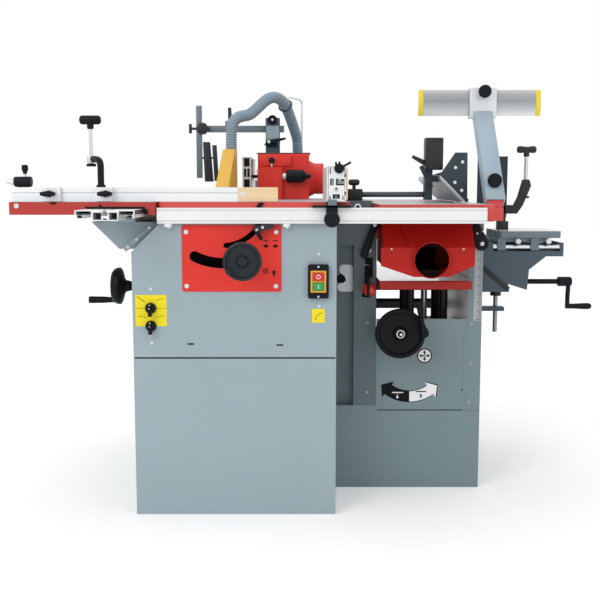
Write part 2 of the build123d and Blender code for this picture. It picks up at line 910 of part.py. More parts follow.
# Tilting trunnion that carries the saw, with two guide posts, a lifting screw and the tilt lock lever
web_top = [
    (tilt_x - 10, table_height - 50),
    (tilt_x + 14, table_height - 30),
    (tilt_x + 50, table_height - 35),
    (tilt_x + 112, table_height - 90),
    (tilt_x + 100, table_height - 210),
    (tilt_x + 30, table_height - 210),
    (tilt_x - 6, table_height - 95),
]
slide_x = tilt_x + 65
slide_post_ys = (blade_y - 95, blade_y + 95)
slide_post_radius = 10.0
slide_screw_y = blade_y - 128
slide_screw_radius = 6.0
front_web = (trunnion_front + trunnion_width, trunnion_front + trunnion_width + web_width)
back_web = (trunnion_back - trunnion_width - web_width, trunnion_back - trunnion_width)
beam_z = (table_height - 210, table_height - 190)
lock_y = cabinet_front - plate_thick - 6
with BuildPart() as saw_trunnion:
    for web, sector in ((front_web, bracket_ys[0]), (back_web, bracket_ys[1])):
        slab_y(web_top, web)
        with BuildSketch(front_plane(sector[1])) as shoe:
            with BuildLine():
                rim = CenterArc((tilt_x, table_height), trunnion_radius, -100, 70)
                Polyline(rim @ 0, at_tilt(32, -65), rim @ 1)
            make_face()
        extrude(shoe.sketch, amount=trunnion_width)
    block((slide_x - 25, slide_x + 25), (front_web[0], back_web[1]), beam_z)
    for y in slide_post_ys:
        rod((slide_x, y, beam_z[1] - 1), (slide_x, y, table_height - 38), slide_post_radius)
    rod(
        (slide_x - 7, slide_screw_y, beam_z[1] - 1),
        (slide_x - 7, slide_screw_y, table_height - 34),
        slide_screw_radius,
    )
    rod(
        (wheel_x, front_web[0] - 1, wheel_z),
        (wheel_x, front_web[1] + 1, wheel_z),
        wheel_shaft_radius + turn_gap,
        Mode.SUBTRACT,
    )
    rod((lock_x, lock_y, lock_z), (lock_x, front_web[0] + 1, lock_z), 5)
    rod((lock_x, lock_y - 12, lock_z), (lock_x, lock_y, lock_z), 9)
    slab_y(
        [
            (lock_x - 4, lock_z - 6),
            (lock_x + 6, lock_z - 9),
            (lock_x + 46, lock_z + 2),
            (lock_x + 44, lock_z + 11),
            (lock_x - 2, lock_z + 8),
        ],
        (lock_y - 16, lock_y - 6),
    )
keep(saw_trunnion, "saw_trunnion")

# Arbor slide on the two posts, with the arbor housing and the saw motor
slide_z = (blade_z - 42, blade_z + 18)
nut_z = (slide_z[1] - 20, slide_z[1])
motor_y = blade_y
saw_motor_z = blade_z - 85
saw_motor_radius = 58.0
saw_pulley_x = (tilt_x + 92, tilt_x + 112)
with BuildPart() as arbor_slide:
    block((slide_x - 20, slide_x + 20), (slide_post_ys[0] - 22, slide_post_ys[1] + 22), slide_z)
    block((slide_x - 20, slide_x + 6), (slide_screw_y - 14, slide_post_ys[0] - 20), nut_z)
    for y in slide_post_ys:
        rod(
            (slide_x, y, slide_z[0] - 1),
            (slide_x, y, slide_z[1] + 1),
            slide_post_radius + turn_gap,
            Mode.SUBTRACT,
        )
    rod(
        (slide_x - 7, slide_screw_y, nut_z[0] - 1),
        (slide_x - 7, slide_screw_y, nut_z[1] + 1),
        slide_screw_radius + turn_gap,
        Mode.SUBTRACT,
    )
    rod((tilt_x + 14, blade_y, blade_z), (tilt_x + 88, blade_y, blade_z), 24)
    block((slide_x + 10, tilt_x + 205), (motor_y - 88, motor_y - 50), (slide_z[0] - 32, slide_z[0] + 10))
    rod((tilt_x + 118, motor_y, saw_motor_z), (tilt_x + 285, motor_y, saw_motor_z), saw_motor_radius)
    rod((tilt_x + 100, motor_y, saw_motor_z), (tilt_x + 119, motor_y, saw_motor_z), 9)
    rod((saw_pulley_x[0], motor_y, saw_motor_z), (saw_pulley_x[1], motor_y, saw_motor_z), 26)
    rod(
        (tilt_x + 13, blade_y, blade_z),
        (tilt_x + 89, blade_y, blade_z),
        arbor_radius + turn_gap,
        Mode.SUBTRACT,
    )
keep(arbor_slide, "arbor_slide")

# Blade on its arbor, with flanges, nut and pulley
blade_teeth = 24
with BuildPart() as saw_blade:
    with BuildSketch(side_plane(tilt_x - blade_width / 2)) as disc:
        with Locations((blade_y, blade_z)):
            Circle(blade_radius)
        with Locations((blade_y, blade_z)):
            with PolarLocations(blade_radius, blade_teeth):
                Rectangle(9, 5, rotation=35, mode=Mode.SUBTRACT)
    extrude(disc.sketch, amount=blade_width)
    for x in ((tilt_x - 10, tilt_x - blade_width / 2), (tilt_x + blade_width / 2, tilt_x + 13.5)):
        rod((x[0], blade_y, blade_z), (x[1], blade_y, blade_z), 30 if x[0] > tilt_x else 26)
    rod((tilt_x - 20, blade_y, blade_z), (tilt_x - 10, blade_y, blade_z), 14)
    rod((tilt_x - 10, blade_y, blade_z), (saw_pulley_x[1], blade_y, blade_z), arbor_radius)
    rod((saw_pulley_x[0], blade_y, blade_z), (saw_pulley_x[1], blade_y, blade_z), 26)
keep(saw_blade, "saw_blade")

# Splitter behind the blade, fixed to the rear web of the trunnion
splitter_width = 2.4
splitter_x = (tilt_x - splitter_width / 2, tilt_x + splitter_width / 2)
splitter_front = blade_y + blade_radius + 8
pin_y = splitter_front + 9
pin_z = guard_top - 45
with BuildPart() as splitter:
    slab_x(
        [
            (splitter_front, table_height - 90),
            (back_web[0], table_height - 90),
            (back_web[0], table_height - 58),
            (insert_back - 14, table_height - 30),
            (insert_back - 14, table_height + 6),
            (guard_back - guard_wall - 1, table_height + 16),
            (guard_back - guard_wall - 1, guard_top - 25),
            (splitter_front, guard_top - 25),
        ],
        splitter_x,
    )
    rod((splitter_x[0] - 1, pin_y, pin_z), (splitter_x[1] + 1, pin_y, pin_z), 4 + run_gap, Mode.SUBTRACT)
keep(splitter, "splitter")

# Yellow saw guard, hollow below, held on the splitter by a cross pin
guard_low = table_height + guard_clear
guard_x = (tilt_x - guard_reach_left, tilt_x + guard_reach_right)
hose_foot = hose_route[0]
with BuildPart() as saw_guard:
    slab_x(
        [
            (guard_front, guard_low),
            (guard_front, guard_low + guard_nose),
            (guard_slope_end, guard_top),
            (guard_back, guard_top),
            (guard_back, guard_low),
        ],
        guard_x,
    )
    fillet(saw_guard.edges().filter_by(Axis.X).group_by(Axis.Z)[-1], 8)
    inner = (guard_x[0] + guard_wall, guard_x[1] - guard_wall)
    slab_x(
        [
            (guard_front + guard_wall, guard_low - 1),
            (guard_front + guard_wall, guard_low + guard_nose - guard_wall),
            (guard_slope_end + guard_wall / 2, guard_top - guard_wall),
            (guard_back - guard_wall, guard_top - guard_wall),
            (guard_back - guard_wall, guard_low - 1),
        ],
        inner,
        Mode.SUBTRACT,
    )
    rod((guard_x[0], pin_y, pin_z), (guard_x[1], pin_y, pin_z), 4)
    spigot = hose_bore - run_gap
    rod(
        (hose_foot[0], hose_foot[1], guard_top - 1),
        (hose_foot[0], hose_foot[1], guard_top + spigot_height),
        spigot,
    )
keep(saw_guard, "saw_guard")

# Rise handwheel on its shaft through the curved slot
rise_wheel_y = cabinet_front - 78
with BuildPart() as rise_handwheel:
    handwheel((wheel_x, rise_wheel_y, wheel_z), (0, -1, 0), small_wheel_radius, small_wheel_width, 13)
    rod((wheel_x, front_web[1] + 8, wheel_z), (wheel_x, rise_wheel_y, wheel_z), wheel_shaft_radius)
    rod((wheel_x, front_web[1] + 2, wheel_z), (wheel_x, front_web[1] + 8, wheel_z), 17)
    rod((wheel_x, rise_wheel_y + 40, wheel_z), (wheel_x, rise_wheel_y, wheel_z), 12)
    crank_x = wheel_x - 26
    crank_z = wheel_z - 28
    rod((crank_x, rise_wheel_y - 10, crank_z), (crank_x, rise_wheel_y - 24, crank_z), 5)
    rod((crank_x, rise_wheel_y - 20, crank_z - 20), (crank_x, rise_wheel_y - 20, crank_z + 22), 8)
keep(rise_handwheel, "rise_handwheel")

# Spindle quill with its motor, held in the bracket under the table
with BuildPart() as spindle_quill:
    rod((spindle_x, spindle_y, table_height - 210), (spindle_x, spindle_y, quill_top), quill_radius)
    rod((spindle_x, spindle_y, table_height - 370), (spindle_x, spindle_y, table_height - 210), 68)
    rod(
        (spindle_x, spindle_y, table_height - 211),
        (spindle_x, spindle_y, quill_top + 1),
        spindle_radius + turn_gap,
        Mode.SUBTRACT,
    )
keep(spindle_quill, "spindle_quill")

# Spindle with its cutter head, rings and nut
with BuildPart() as spindle_shaft:
    rod(
        (spindle_x, spindle_y, table_height - 205),
        (spindle_x, spindle_y, table_height + 105),
        spindle_radius,
    )
    rod((spindle_x, spindle_y, quill_top + run_gap), (spindle_x, spindle_y, table_height + 10), 24)
    rod(
        (spindle_x, spindle_y, table_height + 10),
        (spindle_x, spindle_y, table_height + 60),
        cutter_head_radius,
    )
    rod((spindle_x, spindle_y, table_height + 60), (spindle_x, spindle_y, table_height + 95), 22)
    knife_reach = cutter_head_radius + knife_out
    block(
        (spindle_x - 6, spindle_x + 6),
        (spindle_y - knife_reach, spindle_y + knife_reach),
        (table_height + 14, table_height + 56),
    )
keep(spindle_shaft, "spindle_shaft")

# Spindle height handwheel on the left wall
with BuildPart() as spindle_handwheel:
    handwheel((left_wheel_x, left_wheel_y, left_wheel_z), (-1, 0, 0), small_wheel_radius, 22, 14)
    rod(
        (left_wheel_x, left_wheel_y, left_wheel_z),
        (cabinet_left + 55, left_wheel_y, left_wheel_z),
        left_shaft_radius,
    )
    rod(
        (left_wheel_x, left_wheel_y, left_wheel_z),
        (cabinet_left - run_gap, left_wheel_y, left_wheel_z),
        16,
    )
    rod(
        (cabinet_left + sheet + 1, left_wheel_y, left_wheel_z),
        (cabinet_left + 16, left_wheel_y, left_wheel_z),
        15,
    )
    rod(
        (cabinet_left + 40, left_wheel_y, left_wheel_z),
        (cabinet_left + 55, left_wheel_y, left_wheel_z),
        22,
    )
    grip_z = left_wheel_z - 36
    rod((left_wheel_x - 15, left_wheel_y, grip_z), (left_wheel_x - 112, left_wheel_y, grip_z), 7)
    rod((left_wheel_x - 40, left_wheel_y, grip_z), (left_wheel_x - 112, left_wheel_y, grip_z), 11)
keep(spindle_handwheel, "spindle_handwheel")

# Spindle hood, open to the left, with a dust outlet on the right
hood_x = (hood_left, hood_right)
outlet_bore = port_radius - port_wall
with BuildPart() as spindle_hood:
    block(hood_x, (hood_front, hood_back), (table_height, hood_top))
    fillet(spindle_hood.edges().filter_by(Axis.X).group_by(Axis.Z)[-1], 6)
    block(
        (hood_left - 1, hood_right - hood_wall),
        (hood_front + hood_wall, hood_back - hood_wall),
        (table_height - 1, hood_top - hood_wall),
        Mode.SUBTRACT,
    )
    block((hood_left, hood_left + 78), (hood_front - 16, hood_front), (table_height, table_height + 102))
    taper(
        (hood_right, spindle_y, spindle_port_z),
        (hood_right + 19, spindle_y, spindle_port_z),
        port_radius + 10,
        port_radius,
    )
    rod(
        (hood_right + 19, spindle_y, spindle_port_z),
        (spindle_port_end, spindle_y, spindle_port_z),
        port_radius,
    )
    rod(
        (hood_right - 10, spindle_y, spindle_port_z),
        (spindle_port_end + 1, spindle_y, spindle_port_z),
        outlet_bore,
        Mode.SUBTRACT,
    )
    hose_end = hose_route[-1]
    rod(
        (hose_end[0], hose_end[1], hood_top - 2), (hose_end[0], hose_end[1], hose_end[2]), hose_radius + 2,
    )
    rod(
        (hose_end[0], hose_end[1], hood_top - 2),
        (hose_end[0], hose_end[1], hose_end[2] + spigot_height),
        hose_bore - run_gap,
    )
    rod(
        (hose_end[0], hose_end[1], hood_top - 30),
        (hose_end[0], hose_end[1], hose_end[2] + spigot_height + 1),
        hose_bore - 3,
        Mode.SUBTRACT,
    )
keep(spindle_hood, "spindle_hood")

# Two hollow fence profiles in front of and behind the spindle
fence_mid = spindle_y
with BuildPart() as spindle_fences:
    for y in (
        (mould_fence_front, fence_mid - mould_fence_gap / 2),
        (fence_mid + mould_fence_gap / 2, mould_fence_back),
    ):
        block((mould_fence_left, mould_fence_right), y, (table_height, mould_fence_top))
        cell = (mould_fence_top - table_height) / 4
        for k in range(4):
            block(
                (mould_fence_left + 4, mould_fence_right - 4),
                (y[0] - 1, y[1] + 1),
                (table_height + cell * k + 2.5, table_height + cell * (k + 1) - 2.5),
                Mode.SUBTRACT,
            )
        block(
            (mould_fence_right, hood_left),
            (max(y[0], hood_front), min(y[1], hood_back)),
            (table_height, table_height + 30),
        )
keep(spindle_fences, "spindle_fences")

# Grip, thumb screw, hold-down post and hose stand on the spindle hood
post_y = (arm_y - post_width / 2, arm_y + post_width / 2)
post_xs_pair = (post_x - post_width / 2, post_x + post_width / 2)
arm_half = arm_width / 2
wire = 3.0
stand_x = hose_route[-1][0] + 14
stand_y = hose_route[-1][1] + 21
ring_center = (Vector(*hose_route[3]) + Vector(*hose_route[4])) / 2
ring_axis = (Vector(*hose_route[4]) - Vector(*hose_route[3])).normalized()
ring_radius = hose_radius + wire + run_gap
ring_top = ring_center + (Vector(0, 0, 1) - ring_axis * ring_axis.Z).normalized() * ring_radius
with BuildPart() as hood_fittings:
    block(post_xs_pair, post_y, (hood_top, post_top))
    fillet(hood_fittings.edges().filter_by(Axis.Z), 6)
    block(
        (post_xs_pair[0] - 1, post_xs_pair[1] + 1),
        (arm_y - arm_half - run_gap, arm_y + arm_half + run_gap),
        (arm_z - arm_half - run_gap, arm_z + arm_half + run_gap),
        Mode.SUBTRACT,
    )
    knob_z = post_top - 8
    rod((post_x, post_y[0], knob_z), (post_x, post_y[0] - 8, knob_z), 6)
    rod((post_x, post_y[0] - 8, knob_z), (post_x, post_y[0] - 24, knob_z), 15)
    latch_y = post_y[0]
    rod((post_x - 12, latch_y, latch_z), (post_x - 12, latch_y - 8, latch_z), 6)
    slab_y(
        [
            (post_x - 28, latch_z - 12),
            (post_x + 44, latch_z + 8),
            (post_x + 42, latch_z + 14),
            (post_x - 18, latch_z + 6),
        ],
        (latch_y - 18, latch_y - 8),
    )
    grip_x = (hood_left + 82, hood_right + 6)
    grip_y = hood_front - 24
    grip_z = table_height + 76
    rod((grip_x[0], grip_y, grip_z), (grip_x[1], grip_y, grip_z), 20)
    rod((grip_x[0] + 10, grip_y, grip_z), (grip_x[0] + 10, hood_front, grip_z), 9)
    screw_z = hood_top - 22
    rod((hood_left + 45, hood_front, screw_z), (hood_left + 45, hood_front - 16, screw_z), 4)
    rod((hood_left + 45, hood_front - 16, screw_z), (hood_left + 45, hood_front - 30, screw_z), 12)
    with BuildLine() as stand_path:
        FilletPolyline((stand_x, stand_y, hood_top), (stand_x, stand_y, ring_top.Z), ring_top, radius=8)
    with BuildSketch(Plane(origin=stand_path.line @ 0, z_dir=stand_path.line % 0)) as stand_section:
        Circle(wire)
    sweep(stand_section.sketch, path=stand_path.line)
    with Locations(Plane(origin=ring_center, z_dir=ring_axis).location):
        Torus(ring_radius, wire)
keep(hood_fittings, "hood_fittings")

# Ribbed dust hose from the saw guard to the hood
def bend_radii(route):
    """The largest bend that each corner's two runs allow."""
    radii = []
    for before, corner, after in zip(route, route[1:], route[2:]):
        first = Vector(*corner) - Vector(*before)
        second = Vector(*after) - Vector(*corner)
        half_turn = radians(first.get_angle(second) / 2)
        radii.append(0.45 * min(first.length, second.length) / tan(half_turn))
    return radii


hose_bends = bend_radii(hose_route)
with BuildLine() as hose_path:
    FilletPolyline(*hose_route, radius=hose_bends)
hose_line = hose_path.wire()
rib_count = int(hose_line.length / hose_rib_pitch)
print(
    "hose length", round(hose_line.length, 1), "ribs", rib_count, "bends", [round(r) for r in hose_bends],
)


def hose_plane(share):
    """The plane across the hose at a share of its length, with a steady X axis."""
    return Plane(origin=hose_line @ share, x_dir=(0.78, -0.62, 0), z_dir=hose_line % share)


hose_valley = hose_radius - hose_rib_depth
with BuildPart() as dust_hose:
    for rib in range(rib_count):
        for along_rib, radius in (
            (0, hose_valley), (0.25, hose_radius), (0.6, hose_radius), (0.85, hose_valley),
        ):
            with BuildSketch(hose_plane((rib + along_rib) / rib_count)):
                Circle(radius)
    with BuildSketch(hose_plane(1)):
        Circle(hose_valley)
    loft(ruled=True)
    with BuildSketch(hose_plane(0)) as bore:
        Circle(hose_bore)
    sweep(bore.sketch, path=hose_line, mode=Mode.SUBTRACT)
keep(dust_hose, "dust_hose")

# Hold-down arm through the post, with an upright bar, two pressure shoes and a rear rod
bar_half = hold_bar_width / 2
bar_y = (arm_y - arm_half - hold_bar_width, arm_y - arm_half)
with BuildPart() as hold_down_arm:
    block(
        (hold_bar_x, arm_right), (arm_y - arm_half, arm_y + arm_half), (arm_z - arm_half, arm_z + arm_half),
    )
    block((hold_bar_x - bar_half, hold_bar_x + bar_half), bar_y, (hold_bar_low, hold_bar_top))
    slab_y(
        [
            (hold_bar_x - 11, arm_z),
            (hold_bar_x + 2, arm_z - 18),
            (hold_bar_x + 20, arm_z - 18),
            (hold_bar_x + 33, arm_z),
            (hold_bar_x + 20, arm_z + 18),
            (hold_bar_x + 2, arm_z + 18),
        ],
        (bar_y[0] - 4, arm_y - arm_half),
    )
    hold_screw_y = bar_y[0] + bar_half
    rod((hold_bar_x, hold_screw_y, arm_z), (hold_bar_x - 26, hold_screw_y, arm_z), 4)
    block((hold_bar_x - 33, hold_bar_x - 24), (hold_screw_y - 5, hold_screw_y + 5), (arm_z - 15, arm_z + 15))
    shoe_x = hold_bar_x + bar_half
    shoe_y = (bar_y[0] + 2, bar_y[0] + 14)
    shoe_low = hold_bar_low - 12
    shoe_top = hold_bar_low + 116
    slab_y(
        [(shoe_x + 8, shoe_low), (shoe_x + 36, shoe_low), (shoe_x + 26, shoe_top), (shoe_x + 3, shoe_top)],
        shoe_y,
    )
    slab_y(
        [
            (shoe_x + 39, shoe_low + 2),
            (shoe_x + 53, shoe_low + 2),
            (shoe_x + 47, shoe_top - 10),
            (shoe_x + 33, shoe_top - 10),
        ],
        shoe_y,
    )
    block((shoe_x - 2, shoe_x + 44), (shoe_y[0], shoe_y[0] + 8), (hold_bar_low + 60, hold_bar_low + 72))
    upright_x = tilt_x - 23
    block((upright_x - 7, upright_x + 7), (arm_y - 7, arm_y + 7), (arm_z + arm_half, hold_bar_top - 4))
    block(
        (upright_x - 16, upright_x + 16),
        (arm_y - arm_half, arm_y + arm_half),
        (arm_z + arm_half, arm_z + arm_half + 16),
    )
keep(hold_down_arm, "hold_down_arm")

# Rip fence, a tall hollow extrusion
rip_low = table_height + run_gap
with BuildPart() as rip_fence:
    block((rip_left, rip_right), (rip_front, rip_back), (rip_low, rip_top))
    rip_cells = 3
    cell = (rip_top - rip_low) / rip_cells
    for k in range(rip_cells):
        block(
            (rip_left + rip_wall, rip_right - rip_wall),
            (rip_front - 1, rip_back + 1),
            (rip_low + cell * k + rip_wall / 2, rip_low + cell * (k + 1) - rip_wall / 2),
            Mode.SUBTRACT,
        )
    for z in (rip_low + 22, rip_top - 24):
        block(
            (rip_right - rip_wall - 1, rip_right + 1),
            (rip_front - 1, rip_back + 1),
            (z - 4, z + 4),
            Mode.SUBTRACT,
        )
keep(rip_fence, "rip_fence")

# Carrier that runs on the rail, with its clamp knob and the lever on the fence
carrier_y = (rip_front - 12, rail_front - run_gap)
with BuildPart() as rip_carrier:
    rod((rip_knob_x, rip_knob_end, rip_knob_z), (rip_knob_x, rip_front - 20, rip_knob_z), rip_knob_radius)
    fillet(rip_carrier.edges().filter_by(GeomType.CIRCLE), 4)
    block(
        (rip_bar_left, rip_bar_right),
        (rip_front - 12, table_front - run_gap),
        (rail_high + run_gap, rip_low),
    )
    block((rip_knob_x - 18, rip_knob_x + 18), carrier_y, (rail_low + 2, rip_low))
    block((rip_knob_x - 18, rip_knob_x + 18), (rip_front - 12, rip_front), (rip_low - 1, rip_low + 14))
    rod((rip_knob_x, rip_front - 21, rip_knob_z), (rip_knob_x, rip_front - 12, rip_knob_z), 8)
    slab_x(
        [
            (rip_front + 4, rip_top),
            (rip_front + 46, rip_top),
            (rip_front + 46, rip_top + 8),
            (rip_front + 14, rip_top + 12),
            (rip_front - 14, rip_top + 2),
            (rip_front - 14, rip_top - 8),
            (rip_front, rip_top - 4),
            (rip_front, rip_top),
        ],
        (rip_left + 14, rip_right - 4),
    )
keep(rip_carrier, "rip_carrier")

# Planer plinth, a closed box with a slot for the belt, and the front panel above it with its wheel bearing
with BuildPart() as planer_plinth:
    block((cabinet_right, planer_right), (planer_front, cabinet_back), (0, plinth_height))
    block(
        (cabinet_right + sheet, planer_right - sheet),
        (planer_front + sheet, cabinet_back - sheet),
        (sheet, plinth_height - sheet),
        Mode.SUBTRACT,
    )
    block(
        (cabinet_right + floor_flange, planer_right - floor_flange),
        (planer_front + floor_flange, cabinet_back - floor_flange),
        (-1, sheet + 1),
        Mode.SUBTRACT,
    )
    block(
        (column_left + sheet, tunnel_left - sheet),
        (cutter_y - 60, cutter_y + 60),
        (plinth_height - sheet - 1, plinth_height + 1),
        Mode.SUBTRACT,
    )
    for y in (floor_bolt_front, floor_bolt_back):
        rod((floor_bolt_x, y, -1), (floor_bolt_x, y, sheet + 1), floor_bolt_radius, Mode.SUBTRACT)
    panel_y = (planer_front, planer_front + sheet)
    panel_low = plinth_height + part_gap
    block((tunnel_left, tunnel_right), panel_y, (panel_low, panel_top))
    block((bed_wheel_x - 36, bed_wheel_x + 36), panel_y, (panel_top, bed_wheel_z + 30))
    block((tunnel_left, tunnel_right), (planer_front, planer_front + 18), (panel_top - sheet, panel_top))
    rod(
        (bed_wheel_x, planer_front - 1, bed_wheel_z),
        (bed_wheel_x, planer_front + 20, bed_wheel_z),
        wheel_shaft_radius + turn_gap,
        Mode.SUBTRACT,
    )
keep(planer_plinth, "planer_plinth")


def bearing_block(x):
    """A bearing block for the cutter's journal, its bore cut last."""
    block(x, (cutter_y - pedestal_half, cutter_y + pedestal_half), (cutter_z - 42, pedestal_top))


def roller_holes(x):
    """Holes for the two feed rollers' journals."""
    for y in (cutter_y - roller_reach, cutter_y + roller_reach):
        rod((x[0], y, roller_z), (x[1], y, roller_z), roller_journal + turn_gap, Mode.SUBTRACT)


# Drive column with the belt cover above it
column_outline = [
    (column_left, plinth_height),
    (tunnel_left, plinth_height),
    (tunnel_left, housing_top),
    (cover_right, housing_top),
    (cover_right, cover_top),
    (cover_left, cover_top),
    (cover_left, head_shelf),
    (head_left, head_shelf),
    (head_left, head_low),
    (column_left, head_low),
]
column_inside = [
    (column_left + sheet, plinth_height - 1),
    (tunnel_left - sheet, plinth_height - 1),
    (tunnel_left - sheet, housing_top - sheet),
    (cover_right - sheet, housing_top - sheet),
    (cover_right - sheet, cover_top - sheet),
    (cover_left + sheet, cover_top - sheet),
    (cover_left + sheet, head_shelf - sheet),
    (head_left + sheet, head_shelf - sheet),
    (head_left + sheet, head_low + sheet),
    (column_left + sheet, head_low + sheet),
]
slot_half = 6.0
recess_y = planer_front + recess_depth
with BuildPart() as drive_column:
    slab_y(column_outline, (planer_front, cabinet_back))
    slab_y(column_inside, (planer_front + sheet, cabinet_back - sheet), Mode.SUBTRACT)
    block((cabinet_right, column_left), (recess_y, recess_y + sheet), (plinth_height, head_low + sheet))
    bearing_block((cover_right - 16, tunnel_left))
    rod(
        (column_left, cutter_y, cutter_z),
        (tunnel_left + 1, cutter_y, cutter_z),
        journal_radius + turn_gap,
        Mode.SUBTRACT,
    )
    roller_holes((tunnel_left - sheet - 1, tunnel_left + 1))
    slot_y = (planer_front - 1, planer_front + sheet + 1)
    block(
        (feed_slot_x - slot_half, feed_slot_x + slot_half),
        slot_y,
        (feed_slot_low, feed_slot_high),
        Mode.SUBTRACT,
    )
    block((feed_slot_x, feed_slot_x + 14), slot_y, (feed_slot_high - 12, feed_slot_high), Mode.SUBTRACT)
    block((feed_slot_x - 14, feed_slot_x), slot_y, (feed_slot_low, feed_slot_low + 12), Mode.SUBTRACT)
    rod((lever_x, slot_y[0], lever_z), (lever_x, slot_y[1], lever_z), lever_pin + turn_gap, Mode.SUBTRACT)
keep(drive_column, "drive_column")

# Right-hand housing with the second bearing block
with BuildPart() as right_housing:
    block((tunnel_right, planer_right), (planer_front, cabinet_back), (plinth_height, housing_top))
    block(
        (tunnel_right + sheet, planer_right - sheet),
        (planer_front + sheet, cabinet_back - sheet),
        (plinth_height - 1, housing_top - sheet),
        Mode.SUBTRACT,
    )
    bearing_block((tunnel_right, planer_right))
    rod(
        (tunnel_right - 1, cutter_y, cutter_z),
        (planer_right + 1, cutter_y, cutter_z),
        journal_radius + turn_gap,
        Mode.SUBTRACT,
    )
    roller_holes((tunnel_right - 1, tunnel_right + sheet + 1))
    rod(
        (lock_lever_x, planer_front - 1, lock_lever_z),
        (lock_lever_x, planer_front + sheet + 1, lock_lever_z),
        lever_pin + turn_gap,
        Mode.SUBTRACT,
    )
keep(right_housing, "right_housing")


skirt_wall = 12.0
skirt_low = housing_top
cutter_edges = (cutter_y - lip_reach, cutter_y + lip_reach)
skirt_edges = (cutter_y - pedestal_half - 5, cutter_y + pedestal_half + 5)


def planer_table(y, skirt_y, low, top):
    """A planer table: a plate over the depth y, and a hollow skirt under it over the depth skirt_y."""
    x = (planer_table_left, planer_table_right)
    block(x, skirt_y, (low, top))
    block(
        (x[0] + skirt_wall, x[1] - skirt_wall),
        (skirt_y[0] + skirt_wall, skirt_y[1] - skirt_wall),
        (low - 1, top - table_plate),
        Mode.SUBTRACT,
    )
    block(x, y, (top - table_plate, top))


# Infeed table with the lug, tongue and pin that the bridge guard swings on
infeed_top = planer_top - infeed_drop
lug_x = (guard_pivot_x - guard_arm_width / 2, guard_pivot_x + guard_arm_width / 2)
lug_y = (guard_pivot_y - 18, guard_pivot_y + 18)
lug_top = infeed_top - 12
tongue_x = (lug_x[0] + guard_arm_wall + run_gap, lug_x[1] - guard_arm_wall - run_gap)
tongue_y = (guard_pivot_y - guard_tongue, guard_pivot_y + guard_tongue)
with BuildPart() as infeed_table:
    planer_table(
        (infeed_front, cutter_edges[0]),
        (infeed_front, skirt_edges[0]),
        skirt_low + run_gap,
        infeed_top,
    )
    block((planer_table_right, tongue_x[1]), lug_y, (infeed_top - 48, lug_top))
    block(tongue_x, tongue_y, (lug_top - 1, guard_pivot_z))
    rod(
        (tongue_x[0], guard_pivot_y, guard_pivot_z),
        (tongue_x[1], guard_pivot_y, guard_pivot_z),
        guard_tongue,
    )
    rod(
        (lug_x[0], guard_pivot_y, guard_pivot_z),
        (lug_x[1], guard_pivot_y, guard_pivot_z),
        guard_pin_radius,
    )
keep(infeed_table, "infeed_table")

# Outfeed table, fixed on the two housings
with BuildPart() as outfeed_table:
    planer_table((cutter_edges[1], outfeed_back), (skirt_edges[1], outfeed_back), skirt_low, planer_top)
keep(outfeed_table, "outfeed_table")

# Cutter block with three knives, its pulley and the drill chuck
pulley_x = (column_left + sheet + 3, column_left + sheet + 3 + belt_width + 4)
block_x = (tunnel_left + 1.5, tunnel_right - 1.5)
with BuildPart() as cutter_block:
    rod((block_x[0], cutter_y, cutter_z), (block_x[1], cutter_y, cutter_z), cutter_radius - 1)
    with BuildSketch(side_plane(block_x[0])) as knives:
        with Locations((cutter_y, cutter_z)):
            with PolarLocations(cutter_radius - 5, 3, start_angle=30):
                Rectangle(8, 4)
    extrude(knives.sketch, amount=block_x[1] - block_x[0])
    rod((pulley_x[0], cutter_y, cutter_z), (planer_right + 6, cutter_y, cutter_z), journal_radius)
    rod((pulley_x[0], cutter_y, cutter_z), (pulley_x[1], cutter_y, cutter_z), pulley_radius)
    chuck_x = planer_right + 4
    rod((chuck_x, cutter_y, cutter_z), (chuck_x + chuck_length * 0.6, cutter_y, cutter_z), chuck_radius)
    taper(
        (chuck_x + chuck_length * 0.6, cutter_y, cutter_z),
        (chuck_x + chuck_length, cutter_y, cutter_z),
        chuck_radius,
        chuck_radius * 0.55,
    )
keep(cutter_block, "cutter_block")

# Two feed rollers under the tables
for name, y in (
    ("feed_roller_front", cutter_y - roller_reach), ("feed_roller_back", cutter_y + roller_reach),
):
    with BuildPart() as roller:
        rod((tunnel_left + 1, y, roller_z), (tunnel_right - 1, y, roller_z), roller_radius)
        rod((tunnel_left - sheet, y, roller_z), (tunnel_right + sheet, y, roller_z), roller_journal)
    keep(roller, name)

# Planer motor in the plinth, on a foot, with its pulley in the column
with BuildPart() as planer_motor:
    rod((tunnel_left + 6, cutter_y, motor_z), (planer_x + 90, cutter_y, motor_z), motor_radius)
    block(
        (tunnel_left + 40, planer_x + 60),
        (cutter_y - 60, cutter_y + 60),
        (sheet, motor_z - motor_radius + 12),
    )
    block(
        (cabinet_right + floor_flange - 20, planer_right - floor_flange + 20),
        (cutter_y - 40, cutter_y + 40),
        (sheet, sheet + 8),
    )
    rod((pulley_x[0], cutter_y, motor_z), (tunnel_left + 7, cutter_y, motor_z), 12)
    rod((pulley_x[0], cutter_y, motor_z), (pulley_x[1], cutter_y, motor_z), pulley_radius)
keep(planer_motor, "planer_motor")

# Belt from the motor to the cutter block
belt_x = (pulley_x[0] + 2, pulley_x[1] - 2)
with BuildPart() as planer_belt:
    with BuildSketch(side_plane(belt_x[0])) as belt:
        with Locations((cutter_y, (cutter_z + motor_z) / 2)):
            SlotCenterToCenter(
                cutter_z - motor_z, 2 * (pulley_radius + run_gap + belt_thick), rotation=90,
            )
            SlotCenterToCenter(
                cutter_z - motor_z, 2 * (pulley_radius + run_gap), rotation=90, mode=Mode.SUBTRACT,
            )
    extrude(belt.sketch, amount=belt_width)
keep(planer_belt, "planer_belt")

